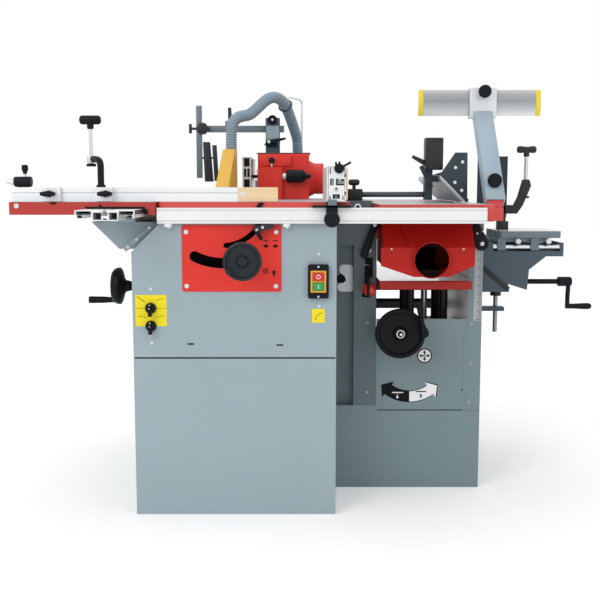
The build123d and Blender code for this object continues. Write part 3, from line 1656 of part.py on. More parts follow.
# Chip hood under the infeed table, with a 100 mm port
chip_wall = 3.0
chip_body = (tunnel_left + 10, tunnel_right - 6)
chip_vee_x = (chip_port_x - chip_vee, chip_port_x + chip_vee)
chip_pipe = outlet_bore + 1


def chip_shape(inset, x, back):
    """The hood's side outline, moved in by inset: a low lip in front of a raised underside."""
    lip_back = chip_front + chip_lip - inset * 0.3
    slab_x(
        [
            (back, chip_under + inset),
            (lip_back + chip_lip_run, chip_under + inset),
            (lip_back, chip_low + inset),
            (chip_front + inset, chip_low + inset),
            (chip_front + inset, chip_crease - inset / 2),
            (chip_front + chip_slope + inset / 2, chip_top - inset),
            (back, chip_top - inset),
        ],
        (x[0] + inset, x[1] - inset),
    )


def chip_port(y):
    """A point on the port's axis."""
    return (chip_port_x, y, chip_port_z)


with BuildPart() as chip_inside:
    chip_shape(chip_wall, chip_body, chip_back - chip_wall)
    for side_x, far_x in ((chip_left, chip_vee_x[0]), (chip_right, chip_vee_x[1])):
        slab_y(
            [(side_x, chip_low - 1), (far_x, chip_low + chip_wall), (side_x, chip_wing + chip_wall)],
            (chip_front, chip_back + 2),
            Mode.SUBTRACT,
        )
    rod(chip_port(chip_front + chip_wall), chip_port(chip_front + chip_boss - chip_wall), chip_pipe)
    block(
        (chip_body[0] + chip_wall, chip_body[1] - chip_wall),
        (chip_back - chip_wall - 1, chip_back + 1),
        (chip_top - chip_mouth, chip_top - chip_wall),
    )
with BuildPart() as planer_hood:
    chip_shape(0, chip_body, chip_back)
    slab_x(
        [
            (chip_front, chip_low),
            (chip_front + chip_wall, chip_low),
            (chip_front + chip_wall, chip_crease),
            (chip_front, chip_crease),
        ],
        (chip_left, chip_right),
    )
    for side_x, far_x in ((chip_left, chip_vee_x[0]), (chip_right, chip_vee_x[1])):
        slab_y(
            [(side_x, chip_low - 1), (far_x, chip_low), (side_x, chip_wing)],
            (chip_front - 1, chip_back + 1),
            Mode.SUBTRACT,
        )
    for lug in ((tunnel_left, chip_body[0]), (chip_body[1], tunnel_right)):
        block(lug, (chip_lug_front, chip_lug_front + 60), (chip_top - 50, chip_top - 20))
    rod(chip_port(chip_front), chip_port(chip_front + chip_boss), chip_pipe + chip_wall)
    add(chip_inside.part, mode=Mode.SUBTRACT)
    rod(chip_port(chip_port_end), chip_port(chip_front + 1), port_radius)
    rod(chip_port(chip_port_end - 1), chip_port(chip_front + chip_wall + 1), outlet_bore, Mode.SUBTRACT)
keep(planer_hood, "planer_hood")

# Lifting base of the thicknesser, with the guide holes for the columns
with BuildPart() as lift_base:
    block((base_left, base_right), (base_front, base_back), (panel_top - base_plate, panel_top))
    for x in ((base_left, base_left + 14), (base_right - 14, base_right)):
        block(x, (base_front, base_back), (plinth_height, panel_top - base_plate + 1))
    block(
        (bed_wheel_x - 16, bed_wheel_x + 24),
        (base_front - 6, base_front + 50),
        (panel_top - base_plate, bed_wheel_z + 24),
    )
    for x in post_xs:
        for y in post_ys:
            rod(
                (x, y, panel_top - base_plate - 1),
                (x, y, panel_top + 1),
                bed_post_radius + turn_gap,
                Mode.SUBTRACT,
            )
    rod(
        (screw_x, screw_y, panel_top - base_plate - 1),
        (screw_x, screw_y, panel_top + 1),
        screw_radius + turn_gap,
        Mode.SUBTRACT,
    )
    rod(
        (bed_wheel_x, base_front - 7, bed_wheel_z),
        (bed_wheel_x, base_front + 40, bed_wheel_z),
        wheel_shaft_radius + turn_gap,
        Mode.SUBTRACT,
    )
    tie_z = (panel_top + 66, panel_top + 90)
    block((tunnel_left, tunnel_right), (cabinet_back - 70, cabinet_back - 58), tie_z)
keep(lift_base, "lift_base")

# Thicknesser bed with its four columns and lifting screw
bed_low = bed_top - bed_thick
column_length = 240.0
with BuildPart() as thicknesser_bed:
    block((planer_x - bed_width / 2, planer_x + bed_width / 2), (bed_front, bed_back), (bed_low, bed_top))
    fillet(thicknesser_bed.edges().filter_by(Axis.X).group_by(Axis.Y)[0], 4)
    for x in post_xs:
        for y in post_ys:
            rod((x, y, bed_low - column_length), (x, y, bed_low), bed_post_radius)
    rod((screw_x, screw_y, bed_low - column_length), (screw_x, screw_y, bed_low), screw_radius)
keep(thicknesser_bed, "thicknesser_bed")

# Bed handwheel with its folding handle
with BuildPart() as bed_handwheel:
    handwheel((bed_wheel_x, bed_wheel_y, bed_wheel_z), (0, -1, 0), bed_wheel_radius, bed_wheel_width, 17)
    rod(
        (bed_wheel_x, base_front + 36, bed_wheel_z),
        (bed_wheel_x, bed_wheel_y, bed_wheel_z),
        wheel_shaft_radius,
    )
    rod((bed_wheel_x, planer_front - 16, bed_wheel_z), (bed_wheel_x, bed_wheel_y, bed_wheel_z), 15)
    fold_x = bed_wheel_x + 52
    fold_y = bed_wheel_y - bed_wheel_width - 15
    fold_z = bed_wheel_z + 30
    rod((fold_x, bed_wheel_y - 9, fold_z), (fold_x, fold_y - 3, fold_z), 6)
    rod((fold_x - 10, fold_y, fold_z + 62), (fold_x + 10, fold_y, fold_z - 42), 11)
keep(bed_handwheel, "bed_handwheel")

# Feed lever in the column's slot, with its red ball
with BuildPart() as feed_lever:
    ball_y = planer_front - 48
    rod(
        (feed_slot_x, planer_front - 6, feed_slot_low + 27),
        (feed_slot_x, planer_front - 60, feed_slot_low + 27),
        5,
    )
    block(
        (feed_slot_x - 4, feed_slot_x + 4),
        (planer_front - 14, planer_front - run_gap),
        (feed_slot_low + 14, feed_slot_high - 4),
    )
    rod(
        (feed_slot_x, planer_front - 14, feed_slot_high - 16),
        (feed_slot_x, planer_front + 14, feed_slot_high - 16),
        slot_half - turn_gap,
    )
    ball((feed_slot_x + 4, ball_y, feed_slot_low + 27), feed_ball_radius)
keep(feed_lever, "feed_lever")

# Table lever on the column and lock lever on the right-hand housing
lever_y = (planer_front - 28, planer_front - 16)
for name, pivot, reach in (
    ("table_lever", (lever_x, lever_z), (lever_reach_x, lever_reach_z)),
    ("table_lock_lever", (lock_lever_x, lock_lever_z), (lock_lever_reach_x, lock_lever_reach_z)),
):
    with BuildPart() as lever:
        with BuildSketch(front_plane(lever_y[1])) as bar:
            with Locations((pivot[0] + reach[0] / 2, pivot[1] + reach[1] / 2)):
                SlotCenterToCenter(
                    hypot(*reach), lever_width, rotation=degrees(atan2(reach[1], reach[0])),
                )
        extrude(bar.sketch, amount=lever_y[1] - lever_y[0])
        rod((pivot[0], lever_y[1] - 1, pivot[1]), (pivot[0], planer_front - run_gap, pivot[1]), 10)
        rod((pivot[0], lever_y[1], pivot[1]), (pivot[0], planer_front + sheet, pivot[1]), lever_pin)
    keep(lever, name)

# Bridge guard arm, a channel that leans back from its pin, with the bridge's clip and two knobs
lean = radians(guard_arm_lean)


def on_arm(out, across):
    """The Y and Z of a point along the leaning arm, and across it."""
    return (
        guard_pivot_y + out * sin(lean) + across * cos(lean),
        guard_pivot_z + out * cos(lean) - across * sin(lean),
    )


half_arm = guard_arm_thick / 2
bridge_y = on_arm(guard_arm_length, 0)[0]
clip_x = (guard_pivot_x - 47, guard_pivot_x + 42)
arm_top = guard_arm_length - 24
hollow_top = guard_arm_length - 40
hollow_front = guard_arm_wall - half_arm
with BuildPart() as guard_arm:
    slab_x(
        [
            on_arm(-guard_arm_end, -half_arm),
            on_arm(arm_top, -half_arm),
            (bridge_y - 13, bridge_low + 12),
            (bridge_y - 8, bridge_low + 12),
            (bridge_y - 8, bridge_low - 8),
            (bridge_y + 14, bridge_low - 8),
            on_arm(arm_top, half_arm),
            on_arm(-guard_arm_end, half_arm),
        ],
        lug_x,
    )
    slab_x(
        [
            on_arm(-guard_arm_end - 2, hollow_front),
            on_arm(hollow_top, hollow_front),
            on_arm(hollow_top, half_arm + 2),
            on_arm(-guard_arm_end - 2, half_arm + 2),
        ],
        (lug_x[0] + guard_arm_wall, lug_x[1] - guard_arm_wall),
        Mode.SUBTRACT,
    )
    rod(
        (lug_x[0] - 1, guard_pivot_y, guard_pivot_z),
        (lug_x[1] + 1, guard_pivot_y, guard_pivot_z),
        guard_pin_radius + turn_gap,
        Mode.SUBTRACT,
    )
    clip_y = (bridge_y - 9, bridge_y + bridge_thick + 6)
    block(clip_x, clip_y, (bridge_low - 9, bridge_low + bridge_width + 5))
    block(
        (clip_x[0] - 1, clip_x[1] + 1),
        (bridge_y - run_gap, bridge_y + bridge_thick + run_gap),
        (bridge_low - run_gap, bridge_low + bridge_width + run_gap),
        Mode.SUBTRACT,
    )
    knob_z = bridge_low + bridge_width - 8
    rod((guard_pivot_x, clip_y[0], knob_z), (guard_pivot_x, clip_y[0] - 12, knob_z), 6)
    rod((guard_pivot_x, clip_y[0] - 12, knob_z), (guard_pivot_x, clip_y[0] - 30, knob_z), 19)
    low_knob = on_arm(52, -half_arm)
    rod((guard_pivot_x, low_knob[0] + 2, low_knob[1]), (guard_pivot_x, low_knob[0] - 10, low_knob[1]), 5)
    rod(
        (guard_pivot_x, low_knob[0] - 10, low_knob[1]), (guard_pivot_x, low_knob[0] - 24, low_knob[1]), 20,
    )
keep(guard_arm, "guard_arm")

# Bridge guard plate with an end cap at each side
with BuildPart() as bridge_guard:
    block(
        (bridge_left, bridge_right),
        (bridge_y, bridge_y + bridge_thick),
        (bridge_low, bridge_low + bridge_width),
    )
    fillet(bridge_guard.edges().filter_by(Axis.X), 4)
keep(bridge_guard, "bridge_guard")

# Rod block on the belt cover, with its clamp knob
with BuildPart() as fence_rod_block:
    block((rod_block_left, rod_block_right), (rod_y - 22, rod_y + 22), (cover_top, rod_z + 16))
    fillet(fence_rod_block.edges().filter_by(Axis.Z), 5)
    rod(
        (rod_block_left - 1, rod_y, rod_z),
        (rod_block_right + 1, rod_y, rod_z),
        rod_radius + turn_gap,
        Mode.SUBTRACT,
    )
    knob_x = (rod_block_left + rod_block_right) / 2
    rod((knob_x, rod_y, rod_z + 15), (knob_x, rod_y, rod_z + 34), 5)
    rod((knob_x - 14, rod_y, rod_z + 38), (knob_x + 14, rod_y, rod_z + 38), 7)
keep(fence_rod_block, "fence_rod_block")

# Planer fence on its rod: a leaning face, two gussets, a bracket and a lock lever
foot = (pfence_foot_x, pfence_foot_z)
head = (pfence_foot_x - pfence_rise, pfence_foot_z + pfence_rise)
skin = pfence_thick * sqrt(2)
with BuildPart() as planer_fence:
    slab_y(
        [foot, head, (head[0], head[1] - skin), (foot[0] - skin, foot[1])],
        (pfence_front, pfence_back),
    )
    for y in ((pfence_front, pfence_front + gusset_thick), (cutter_y - gusset_thick, cutter_y)):
        top = gusset_top if y[0] < 0 else gusset_top - 50
        slab_y([foot, (foot[0] + 4, foot[1] + 3), (foot[0] + 2, top), (foot[0] - 33, top), head], y)
    block((rod_right - 22, rod_right), (rod_y - 20, rod_y + 20), (rod_z - 16, pbracket_top))
    block((rod_right - 16, rod_right + 35), (rod_y - 40, rod_y), (pbracket_top - 92, pbracket_top))
    block((rod_right - 2, head[0] + 4), (rod_y - 16, rod_y + 16), (head[1] - skin - 8, head[1] - 2))
    rod((rod_left, rod_y, rod_z), (rod_right - 20, rod_y, rod_z), rod_radius)
    slab_y(
        [
            (rod_right - 18, pbracket_top - 62),
            (rod_right - 58, pbracket_top - 34),
            (rod_right - 52, pbracket_top - 26),
            (rod_right - 14, pbracket_top - 50),
        ],
        (rod_y - 26, rod_y - 14),
    )
keep(planer_fence, "planer_fence")

# Mortiser bracket on the housing's side, with the lower brace and the chuck guard
mort_y = (mort_front, mort_back)
plate_x = (planer_right, planer_right + mort_plate)
brace_z = (brace_low, brace_low + mort_plate)
screw_foot = (mscrew_x, mcrank_y)
guard_post_y = (mort_back, mort_back + mort_plate)
with BuildPart() as mortiser_bracket:
    block(plate_x, mort_y, (mscrew_low - 5, housing_top - 60))
    block((plate_x[1], mscrew_x + 24), (mcrank_y - 20, mcrank_y + 20), brace_z)
    rod(
        (*screw_foot, brace_z[0] - 1),
        (*screw_foot, brace_z[1] + 1),
        mscrew_radius + turn_gap,
        Mode.SUBTRACT,
    )
    block(plate_x, guard_post_y, (housing_top - 160, chuck_guard_low + 60))
    block(
        (plate_x[1], chuck_guard_left + 1),
        (mort_back, mort_back + 6),
        (chuck_guard_low, chuck_guard_low + 40),
    )
    block(
        (chuck_guard_left, chuck_guard_right),
        (mort_back, mort_back + 6),
        (chuck_guard_low, chuck_guard_top),
    )
keep(mortiser_bracket, "mortiser_bracket")

# Mortiser knee casting with its lifting screw, and the two guide rods of the saddle held between end walls
knee_outline = [
    (knee_left, knee_low),
    (mscrew_x + 20, knee_low),
    (mscrew_x + 16, mcrank_z + 2),
    (knee_web_right, mcrank_z - 16),
    (knee_web_right + 5, mcrank_z + 46),
    (knee_beam_left, knee_top - 16),
    (knee_right, knee_top - 16),
    (knee_right, knee_top),
    (knee_left, knee_top),
]
mort_rod_ys = (mort_front + mort_rod_inset, mort_back - mort_rod_inset)
with BuildPart() as mortiser_knee:
    slab_y(knee_outline, mort_y)
    block(
        (knee_left + knee_wall, knee_web_right - knee_wall),
        (mort_front + knee_wall, mort_back + 1),
        (mcrank_z + 22, knee_top - knee_wall),
        Mode.SUBTRACT,
    )
    for x in ((knee_left, mort_post_right), (mort_post_end, knee_right)):
        block(x, mort_y, (knee_top - 1, mort_post_top))
    for y in mort_rod_ys:
        rod((mort_post_right - 1, y, mort_rod_z), (mort_post_end + 1, y, mort_rod_z), mort_rod_radius)
    rod((*screw_foot, mscrew_low), (*screw_foot, knee_low + 1), mscrew_radius)
    rod((*screw_foot, knee_low - 22), (*screw_foot, knee_low), 17)
    rod(
        (knee_web_right - 45, mcrank_y, mcrank_z),
        (knee_web_right + 15, mcrank_y, mcrank_z),
        mcrank_radius + turn_gap,
        Mode.SUBTRACT,
    )
keep(mortiser_knee, "mortiser_knee")

# Mortiser saddle: two blocks on the guide rods, a plate across them and two clamp knobs
saddle_block_xs = (saddle_left + 6, saddle_left + 106)
saddle_plate_low = mort_post_top + 2
with BuildPart() as mortiser_saddle:
    for x in saddle_block_xs:
        block((x - 12, x + 12), (mort_front - 2, mort_back + 2), (saddle_low, saddle_high - run_gap))
    block(
        (saddle_left, saddle_right - 36),
        (mort_front + 10, mort_back - 10),
        (saddle_plate_low, saddle_high - run_gap),
    )
    for y in mort_rod_ys:
        rod(
            (saddle_left - 20, y, mort_rod_z),
            (saddle_right, y, mort_rod_z),
            mort_rod_radius + turn_gap,
            Mode.SUBTRACT,
        )
    for x in (saddle_left + 53, saddle_right - 40):
        knob_z = saddle_high - 9
        rod((x, mort_front + 11, knob_z), (x, mort_front - 6, knob_z), 4)
        rod((x, mort_front - 6, knob_z), (x, mort_front - 16, knob_z), 8.5)
keep(mortiser_saddle, "mortiser_saddle")

# Mortiser table plate
with BuildPart() as mortiser_table:
    block((saddle_left, saddle_right), mort_y, (saddle_high, mtable_high))
    fillet(mortiser_table.edges().filter_by(Axis.Z), 6)
    for y in (mort_front + 60, mort_back - 60):
        block(
            (saddle_left - 1, saddle_right + 1),
            (y - 4, y + 4),
            (mtable_high - 8, mtable_high + 1),
            Mode.SUBTRACT,
        )
        block(
            (saddle_left - 1, saddle_right + 1),
            (y - 8, y + 8),
            (mtable_high - 14, mtable_high - 7),
            Mode.SUBTRACT,
        )
keep(mortiser_table, "mortiser_table")

# Mortiser clamp: post, arm, screw and cross handle
with BuildPart() as mortiser_clamp:
    clamp_depth = (mclamp_y - 9, mclamp_y + 9)
    block((mclamp_x - 9, mclamp_x + 9), clamp_depth, (mtable_high, mclamp_arm_z))
    block((mclamp_x - 16, mclamp_x + 16), (mclamp_y - 18, mclamp_y + 18), (mtable_high, mtable_high + 26))
    slab_y(
        [
            (mclamp_x - 9, mclamp_arm_z - 27),
            (mclamp_x + 44, mclamp_arm_z - 27),
            (mclamp_x + 86, mclamp_arm_z + 60),
            (mclamp_x + 80, mclamp_arm_z + 79),
            (mclamp_x + 60, mclamp_arm_z + 79),
            (mclamp_x + 34, mclamp_arm_z),
            (mclamp_x - 9, mclamp_arm_z),
        ],
        clamp_depth,
    )
    press = (mclamp_x + 70, mclamp_y)
    rod((*press, mclamp_foot_z), (*press, mclamp_handle_z), 6)
    rod((*press, mclamp_foot_z - 6), (*press, mclamp_foot_z), 13)
    rod((press[0] - 30, mclamp_y, mclamp_handle_z), (press[0] + 30, mclamp_y, mclamp_handle_z), 11)
keep(mortiser_clamp, "mortiser_clamp")

# Mortiser crank on the knee's shaft
with BuildPart() as mortiser_crank:
    rod((knee_web_right - 43, mcrank_y, mcrank_z), (mcrank_end, mcrank_y, mcrank_z), mcrank_radius)
    rod((mcrank_end - 27, mcrank_y, mcrank_z), (mcrank_end + mcrank_arm + 4, mcrank_y, mcrank_z), 15)
    handle_z = mcrank_z - mcrank_drop
    slab_x(
        [
            (mcrank_y - 10, mcrank_z),
            (mcrank_y + 10, mcrank_z),
            (mcrank_y + 7, handle_z),
            (mcrank_y - 7, handle_z),
        ],
        (mcrank_end, mcrank_end + mcrank_arm),
    )
    grip_start = mcrank_end + mcrank_arm + 9
    rod((mcrank_end, mcrank_y, handle_z), (grip_start + 3, mcrank_y, handle_z), 8)
    rod((grip_start, mcrank_y, handle_z), (grip_start + mcrank_grip, mcrank_y, handle_z), 10)
keep(mortiser_crank, "mortiser_crank")
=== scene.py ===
import json
import math

import bmesh
import bpy
from mathutils import Matrix, Vector


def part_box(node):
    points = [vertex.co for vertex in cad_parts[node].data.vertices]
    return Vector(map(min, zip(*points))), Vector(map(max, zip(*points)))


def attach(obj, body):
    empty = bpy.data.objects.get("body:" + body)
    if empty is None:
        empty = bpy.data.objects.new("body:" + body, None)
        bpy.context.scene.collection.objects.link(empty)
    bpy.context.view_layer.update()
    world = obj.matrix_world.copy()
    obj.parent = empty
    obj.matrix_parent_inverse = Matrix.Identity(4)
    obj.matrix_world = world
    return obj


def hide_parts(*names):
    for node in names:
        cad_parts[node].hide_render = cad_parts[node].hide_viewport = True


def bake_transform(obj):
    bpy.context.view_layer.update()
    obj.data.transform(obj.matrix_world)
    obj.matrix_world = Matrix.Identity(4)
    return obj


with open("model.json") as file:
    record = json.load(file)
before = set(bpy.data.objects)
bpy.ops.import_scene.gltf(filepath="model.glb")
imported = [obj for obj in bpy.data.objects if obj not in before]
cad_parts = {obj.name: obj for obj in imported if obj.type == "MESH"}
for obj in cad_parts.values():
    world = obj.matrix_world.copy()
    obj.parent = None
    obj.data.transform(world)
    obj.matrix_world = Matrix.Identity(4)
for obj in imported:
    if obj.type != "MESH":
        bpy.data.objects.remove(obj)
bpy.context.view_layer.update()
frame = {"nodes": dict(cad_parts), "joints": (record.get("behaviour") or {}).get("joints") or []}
nodes = frame["nodes"]
mm = 0.001
pivots = {j["name"]: [x / mm for x in j["pos_m"]] for j in frame["joints"] if j.get("pos_m")}
toFront, toLeft, toRight, toTop = (0, -1, 0), (-1, 0, 0), (1, 0, 0), (0, 0, 1)
print("frame loaded:", len(nodes), "nodes")


def corners(node):
    low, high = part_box(node)
    return list(low / mm), list(high / mm)


def hexColor(text, by=1):
    channels = [int(text[k : k + 2], 16) / 255 for k in (1, 3, 5)]
    linear = [c / 12.92 if c <= 0.04045 else ((c + 0.055) / 1.055) ** 2.4 for c in channels]
    return (*(c * by for c in linear), 1)


def addNode(tree, kind, links=None, **settings):
    node = tree.nodes.new(kind)
    for name, value in settings.items():
        setattr(node, name, value)
    for key, value in (links or {}).items():
        if isinstance(value, bpy.types.NodeSocket):
            tree.links.new(value, node.inputs[key])
        else:
            node.inputs[key].default_value = value
    return node


def startMaterial(name, values):
    material = bpy.data.materials.new(name)
    material.use_nodes = True
    tree = material.node_tree
    tree.nodes.clear()
    shader = addNode(tree, "ShaderNodeBsdfPrincipled", values)
    addNode(tree, "ShaderNodeOutputMaterial", {"Surface": shader.outputs[0]})
    coords = addNode(tree, "ShaderNodeTexCoord")
    return material, tree, shader, coords.outputs["Object"]


# Two tones in the clouds or streaks of a noise
def addTones(tree, shader, where, scale, detail, dark, pale):
    noise = addNode(tree, "ShaderNodeTexNoise", {"Vector": where, "Scale": scale, "Detail": detail})
    mixed = addNode(tree, "ShaderNodeMix", {0: noise.outputs[0], 6: dark, 7: pale}, data_type="RGBA")
    tree.links.new(mixed.outputs[2], shader.inputs["Base Color"])
    return noise.outputs[0], mixed.outputs[2]


# Sprayed enamel: an even coat with a slight cloud of tone, softened edges and an orange peel, which is drawn
# at 7 mm because the real 2 mm is too fine to show
def enamel(name, color, rough=0.38, shine=0.45):
    material, tree, shader, where = startMaterial(name, {"Roughness": rough, "Specular IOR Level": shine})
    addTones(tree, shader, where, 3.2, 2, hexColor(color, 0.9), hexColor(color, 1.05))
    grain = addNode(tree, "ShaderNodeTexNoise", {"Vector": where, "Scale": 140, "Detail": 1})
    edge = addNode(tree, "ShaderNodeBevel", {"Radius": 0.0016}, samples=4)
    peel = {"Strength": 0.05, "Distance": 0.001, "Height": grain.outputs[0], "Normal": edge.outputs[0]}
    tree.links.new(addNode(tree, "ShaderNodeBump", peel).outputs[0], shader.inputs["Normal"])
    return material


# Cast iron with a ground top: a pale brushed face where the surface looks up, enamel everywhere else
def groundCasting(name, sideColor, topColor="#b9bec1", rough=0.4, shine=0.55):
    material, tree, shader, where = startMaterial(name, {"Specular IOR Level": 0.3})
    facing = addNode(tree, "ShaderNodeSeparateXYZ", {0: tree.nodes["Texture Coordinate"].outputs["Normal"]})
    top = addNode(tree, "ShaderNodeMath", {0: facing.outputs[2], 1: 0.8}, operation="GREATER_THAN").outputs[0]
    stretch = addNode(tree, "ShaderNodeMapping", {"Vector": where, "Scale": (6, 160, 20)}).outputs[0]
    ground = addTones(tree, shader, stretch, 1, 3, hexColor(topColor, 0.86), hexColor(topColor))[1]
    mixed = addNode(tree, "ShaderNodeMix", {0: top, 6: hexColor(sideColor), 7: ground}, data_type="RGBA")
    metal = addNode(tree, "ShaderNodeMath", {0: top, 1: shine}, operation="MULTIPLY")
    matt = addNode(tree, "ShaderNodeMapRange", {"Value": top, "To Min": 0.5, "To Max": rough})
    edge = addNode(tree, "ShaderNodeBevel", {"Radius": 0.0015}, samples=4)
    tree.links.new(mixed.outputs[2], shader.inputs["Base Color"])
    for label, node in (("Metallic", metal), ("Roughness", matt), ("Normal", edge)):
        tree.links.new(node.outputs[0], shader.inputs[label])
    return material


# Anodised aluminium: a satin pale grey with faint lines along the way it was extruded
def anodised(name, color, along, rough=0.42, metal=0.35):
    material, tree, shader, where = startMaterial(name, {"Roughness": rough, "Metallic": metal})
    scale = [1.5 if axis == along else 240 for axis in "xyz"]
    stretch = addNode(tree, "ShaderNodeMapping", {"Vector": where, "Scale": scale}).outputs[0]
    addTones(tree, shader, stretch, 1, 2, hexColor(color, 0.88), hexColor(color))
    edge = addNode(tree, "ShaderNodeBevel", {"Radius": 0.001}, samples=4)
    tree.links.new(edge.outputs[0], shader.inputs["Normal"])
    return material


# Turned or plated steel: bright, with a slight unevenness in its gloss
def steel(name, color, rough=0.25, metal=0.9):
    material, tree, shader, where = startMaterial(name, {"Base Color": hexColor(color), "Metallic": metal})
    smear = addNode(tree, "ShaderNodeTexNoise", {"Vector": where, "Scale": 60, "Detail": 3})
    gloss = {"Value": smear.outputs[0], "To Min": rough - 0.06, "To Max": rough + 0.08}
    tree.links.new(addNode(tree, "ShaderNodeMapRange", gloss).outputs[0], shader.inputs["Roughness"])
    return material


# Moulded plastic: a soft sheen over a fine spark-eroded grain, drawn at 4 mm so that it shows
def moulded(name, color, rough=0.4, shine=0.5):
    material, tree, shader, where = startMaterial(name, {"Roughness": rough, "Specular IOR Level": shine})
    fine = addTones(tree, shader, where, 260, 2, hexColor(color, 0.9), hexColor(color))[0]
    bump = addNode(tree, "ShaderNodeBump", {"Strength": 0.06, "Distance": 0.0006, "Height": fine})
    tree.links.new(bump.outputs[0], shader.inputs["Normal"])
    return material


# Planed beech: pale tan with long darker streaks along the board and short flecks
def beech(name):
    material, tree, shader, where = startMaterial(name, {"Roughness": 0.6})
    stretch = addNode(tree, "ShaderNodeMapping", {"Vector": where, "Scale": (9, 120, 120)}).outputs[0]
    addTones(tree, shader, stretch, 1, 5, hexColor("#dcb985"), hexColor("#f3dfbb"))
    tree.nodes["Noise Texture"].inputs["Distortion"].default_value = 0.6
    return material


# Thin vinyl label: flat colour with a low sheen
def vinyl(name, color):
    return startMaterial(name, {"Base Color": hexColor(color), "Roughness": 0.5, "Specular IOR Level": 0.1})[0]


# One piece with more than one finish: the parts of it inside the regions, each a list of limits in metres along
# X, Y or Z or out from a line along Y, are painted over, so that bright rods and dark columns stand out from it;
# it also paints shade and light onto pieces, such as painted shade in open cells
def paintRegions(material, color, regions, rough=0.4, metal=0):
    tree = material.node_tree
    where = tree.nodes["Texture Coordinate"].outputs["Object"]
    place = addNode(tree, "ShaderNodeSeparateXYZ", {0: where})
    flat = addNode(tree, "ShaderNodeVectorMath", {0: where, 1: (1, 0, 1)}, operation="MULTIPLY").outputs[0]
    painted = 0.0
    for limits in regions:
        mask = 1.0
        for axis, low, high in limits:
            if isinstance(axis, int):
                value = place.outputs[axis]
            else:
                value = addNode(tree, "ShaderNodeVectorMath", {0: flat, 1: axis}, operation="DISTANCE").outputs[1]
            span = {0: value, 1: (low + high) / 2, 2: (high - low) / 2}
            inside = addNode(tree, "ShaderNodeMath", span, operation="COMPARE").outputs[0]
            mask = addNode(tree, "ShaderNodeMath", {0: mask, 1: inside}, operation="MULTIPLY").outputs[0]
        painted = addNode(tree, "ShaderNodeMath", {0: painted, 1: mask}, operation="MAXIMUM").outputs[0]
    for label, value in (("Base Color", hexColor(color)), ("Roughness", rough), ("Metallic", metal)):
        socket = tree.nodes["Principled BSDF"].inputs[label]
        kind, first, last = ("RGBA", 6, 2) if label == "Base Color" else ("FLOAT", 2, 0)
        before = socket.links[0].from_socket if socket.links else socket.default_value
        mixed = addNode(tree, "ShaderNodeMix", {0: painted, first: before, first + 1: value}, data_type=kind)
        tree.links.new(mixed.outputs[last], socket)


matt = {"rough": 0.45, "shine": 0.3}
cabinetEnamel = enamel("blueGreyEnamel", "#9fb0b8")
# Painted shade: the cabinet's blue-grey darkened for the shaded planer side, and darker still for the column
shadedPlanerEnamel = enamel("shadedBlueGreyEnamel", "#788c91")
deepShadedColumnEnamel = enamel("deepShadedColumnEnamel", "#5d6c71")
housingShadeAndLightEnamel = enamel("housingShadeAndLightEnamel", "#788c91")
# Painted light: the inner face of the housing's left wall, above the bed, is painted near white as if brightly lit
paintRegions(housingShadeAndLightEnamel, "#eceeef", [[(0, 0.4455, 0.4465), (1, -0.168, 0.5), (2, 0.47, 0.80)]])
redEnamel = enamel("redEnamel", "#e6382d", **matt)
deepRedEnamel = enamel("deepRedEnamel", "#bb241b", rough=0.5, shine=0.2)
# Painted shade: inside the chip hood, behind the port, the red is painted near black for the shade in there
hoodInside = (0, 0.1935, 0.4365)
hoodShadeRegions = [
    [hoodInside, (1, -0.297, -0.063), (2, 0.664, 0.725)], [hoodInside, (1, -0.232, -0.063), (2, 0.725, 0.79)],
    [((0.32, 0, 0.689), -0.001, 0.0486), (1, -0.3045, -0.063)],
]
paintRegions(deepRedEnamel, "#240b09", hoodShadeRegions, rough=0.7)
darkEnamel = enamel("darkGreyEnamel", "#4c5b66", **matt)
slateEnamel = enamel("slateEnamel", "#6c7981", rough=0.4)
gussetEnamel = enamel("gussetEnamel", "#333f47", **matt)
plateEnamel = enamel("paleGreyEnamel", "#f1f4f5")
armEnamel = enamel("paleBlueEnamel", "#a0b3c0", rough=0.35)
blackEnamel = enamel("blackEnamel", "#26292c", **matt)
motorEnamel = enamel("motorEnamel", "#4c5a63")
redCasting = groundCasting("groundIronRedEdge", "#d5534d")
beamCasting = groundCasting("groundIronDeepEdge", "#b43a33")
# Partly painted highlight: the bed's ground top is drawn near white, lighter than ground iron, besides its real
# gloss
bedCasting = groundCasting("thicknesserBedIron", "#a3251f", "#f1f2f2", rough=0.2, shine=0.9)
underBed = (2, 0, 0.5995)
paintRegions(bedCasting, "#1d2022", [[underBed]])
paintRegions(bedCasting, "#c9cdd0", [[(0, 0.333, 0.357), (1, 0.013, 0.037), underBed]], rough=0.3, metal=0.9)
bracketEnamel = enamel("bracketEnamel", "#4c5b66", **matt)
paintRegions(bracketEnamel, "#2b353c", [[(2, 0.80, 1.1)]])
kneeEnamel = enamel("kneeEnamel", "#4c5b66", **matt)
paintRegions(kneeEnamel, "#d3d7da", [[(0, 0.5405, 0.7415), (2, 0.7005, 0.72)]], rough=0.22, metal=0.95)
paintRegions(kneeEnamel, "#8b9196", [[(2, 0.3, 0.5505)]], rough=0.35, metal=0.8)
paintRegions(kneeEnamel, "#1d2022", [[(2, 0.5506, 0.5725)]])
# Painted highlight: the mortiser table's ground top is drawn near white, lighter than ground iron, for the bright
# light on it
greyCasting = groundCasting("groundIronGreyEdge", "#77838a", "#f1f2f2", rough=0.2, shine=0.3)
aluAlongX = anodised("anodisedAlongX", "#eef0f2", "x")
aluAlongY = anodised("anodisedAlongY", "#eef0f2", "y")
aluAlongZ = anodised("anodisedAlongZ", "#dfe2e5", "z")
fenceAlu = anodised("anodisedFence", "#f2f3f4", "y", metal=0.15)
carriageAlu = anodised("carriageAlu", "#eef0f2", "y")
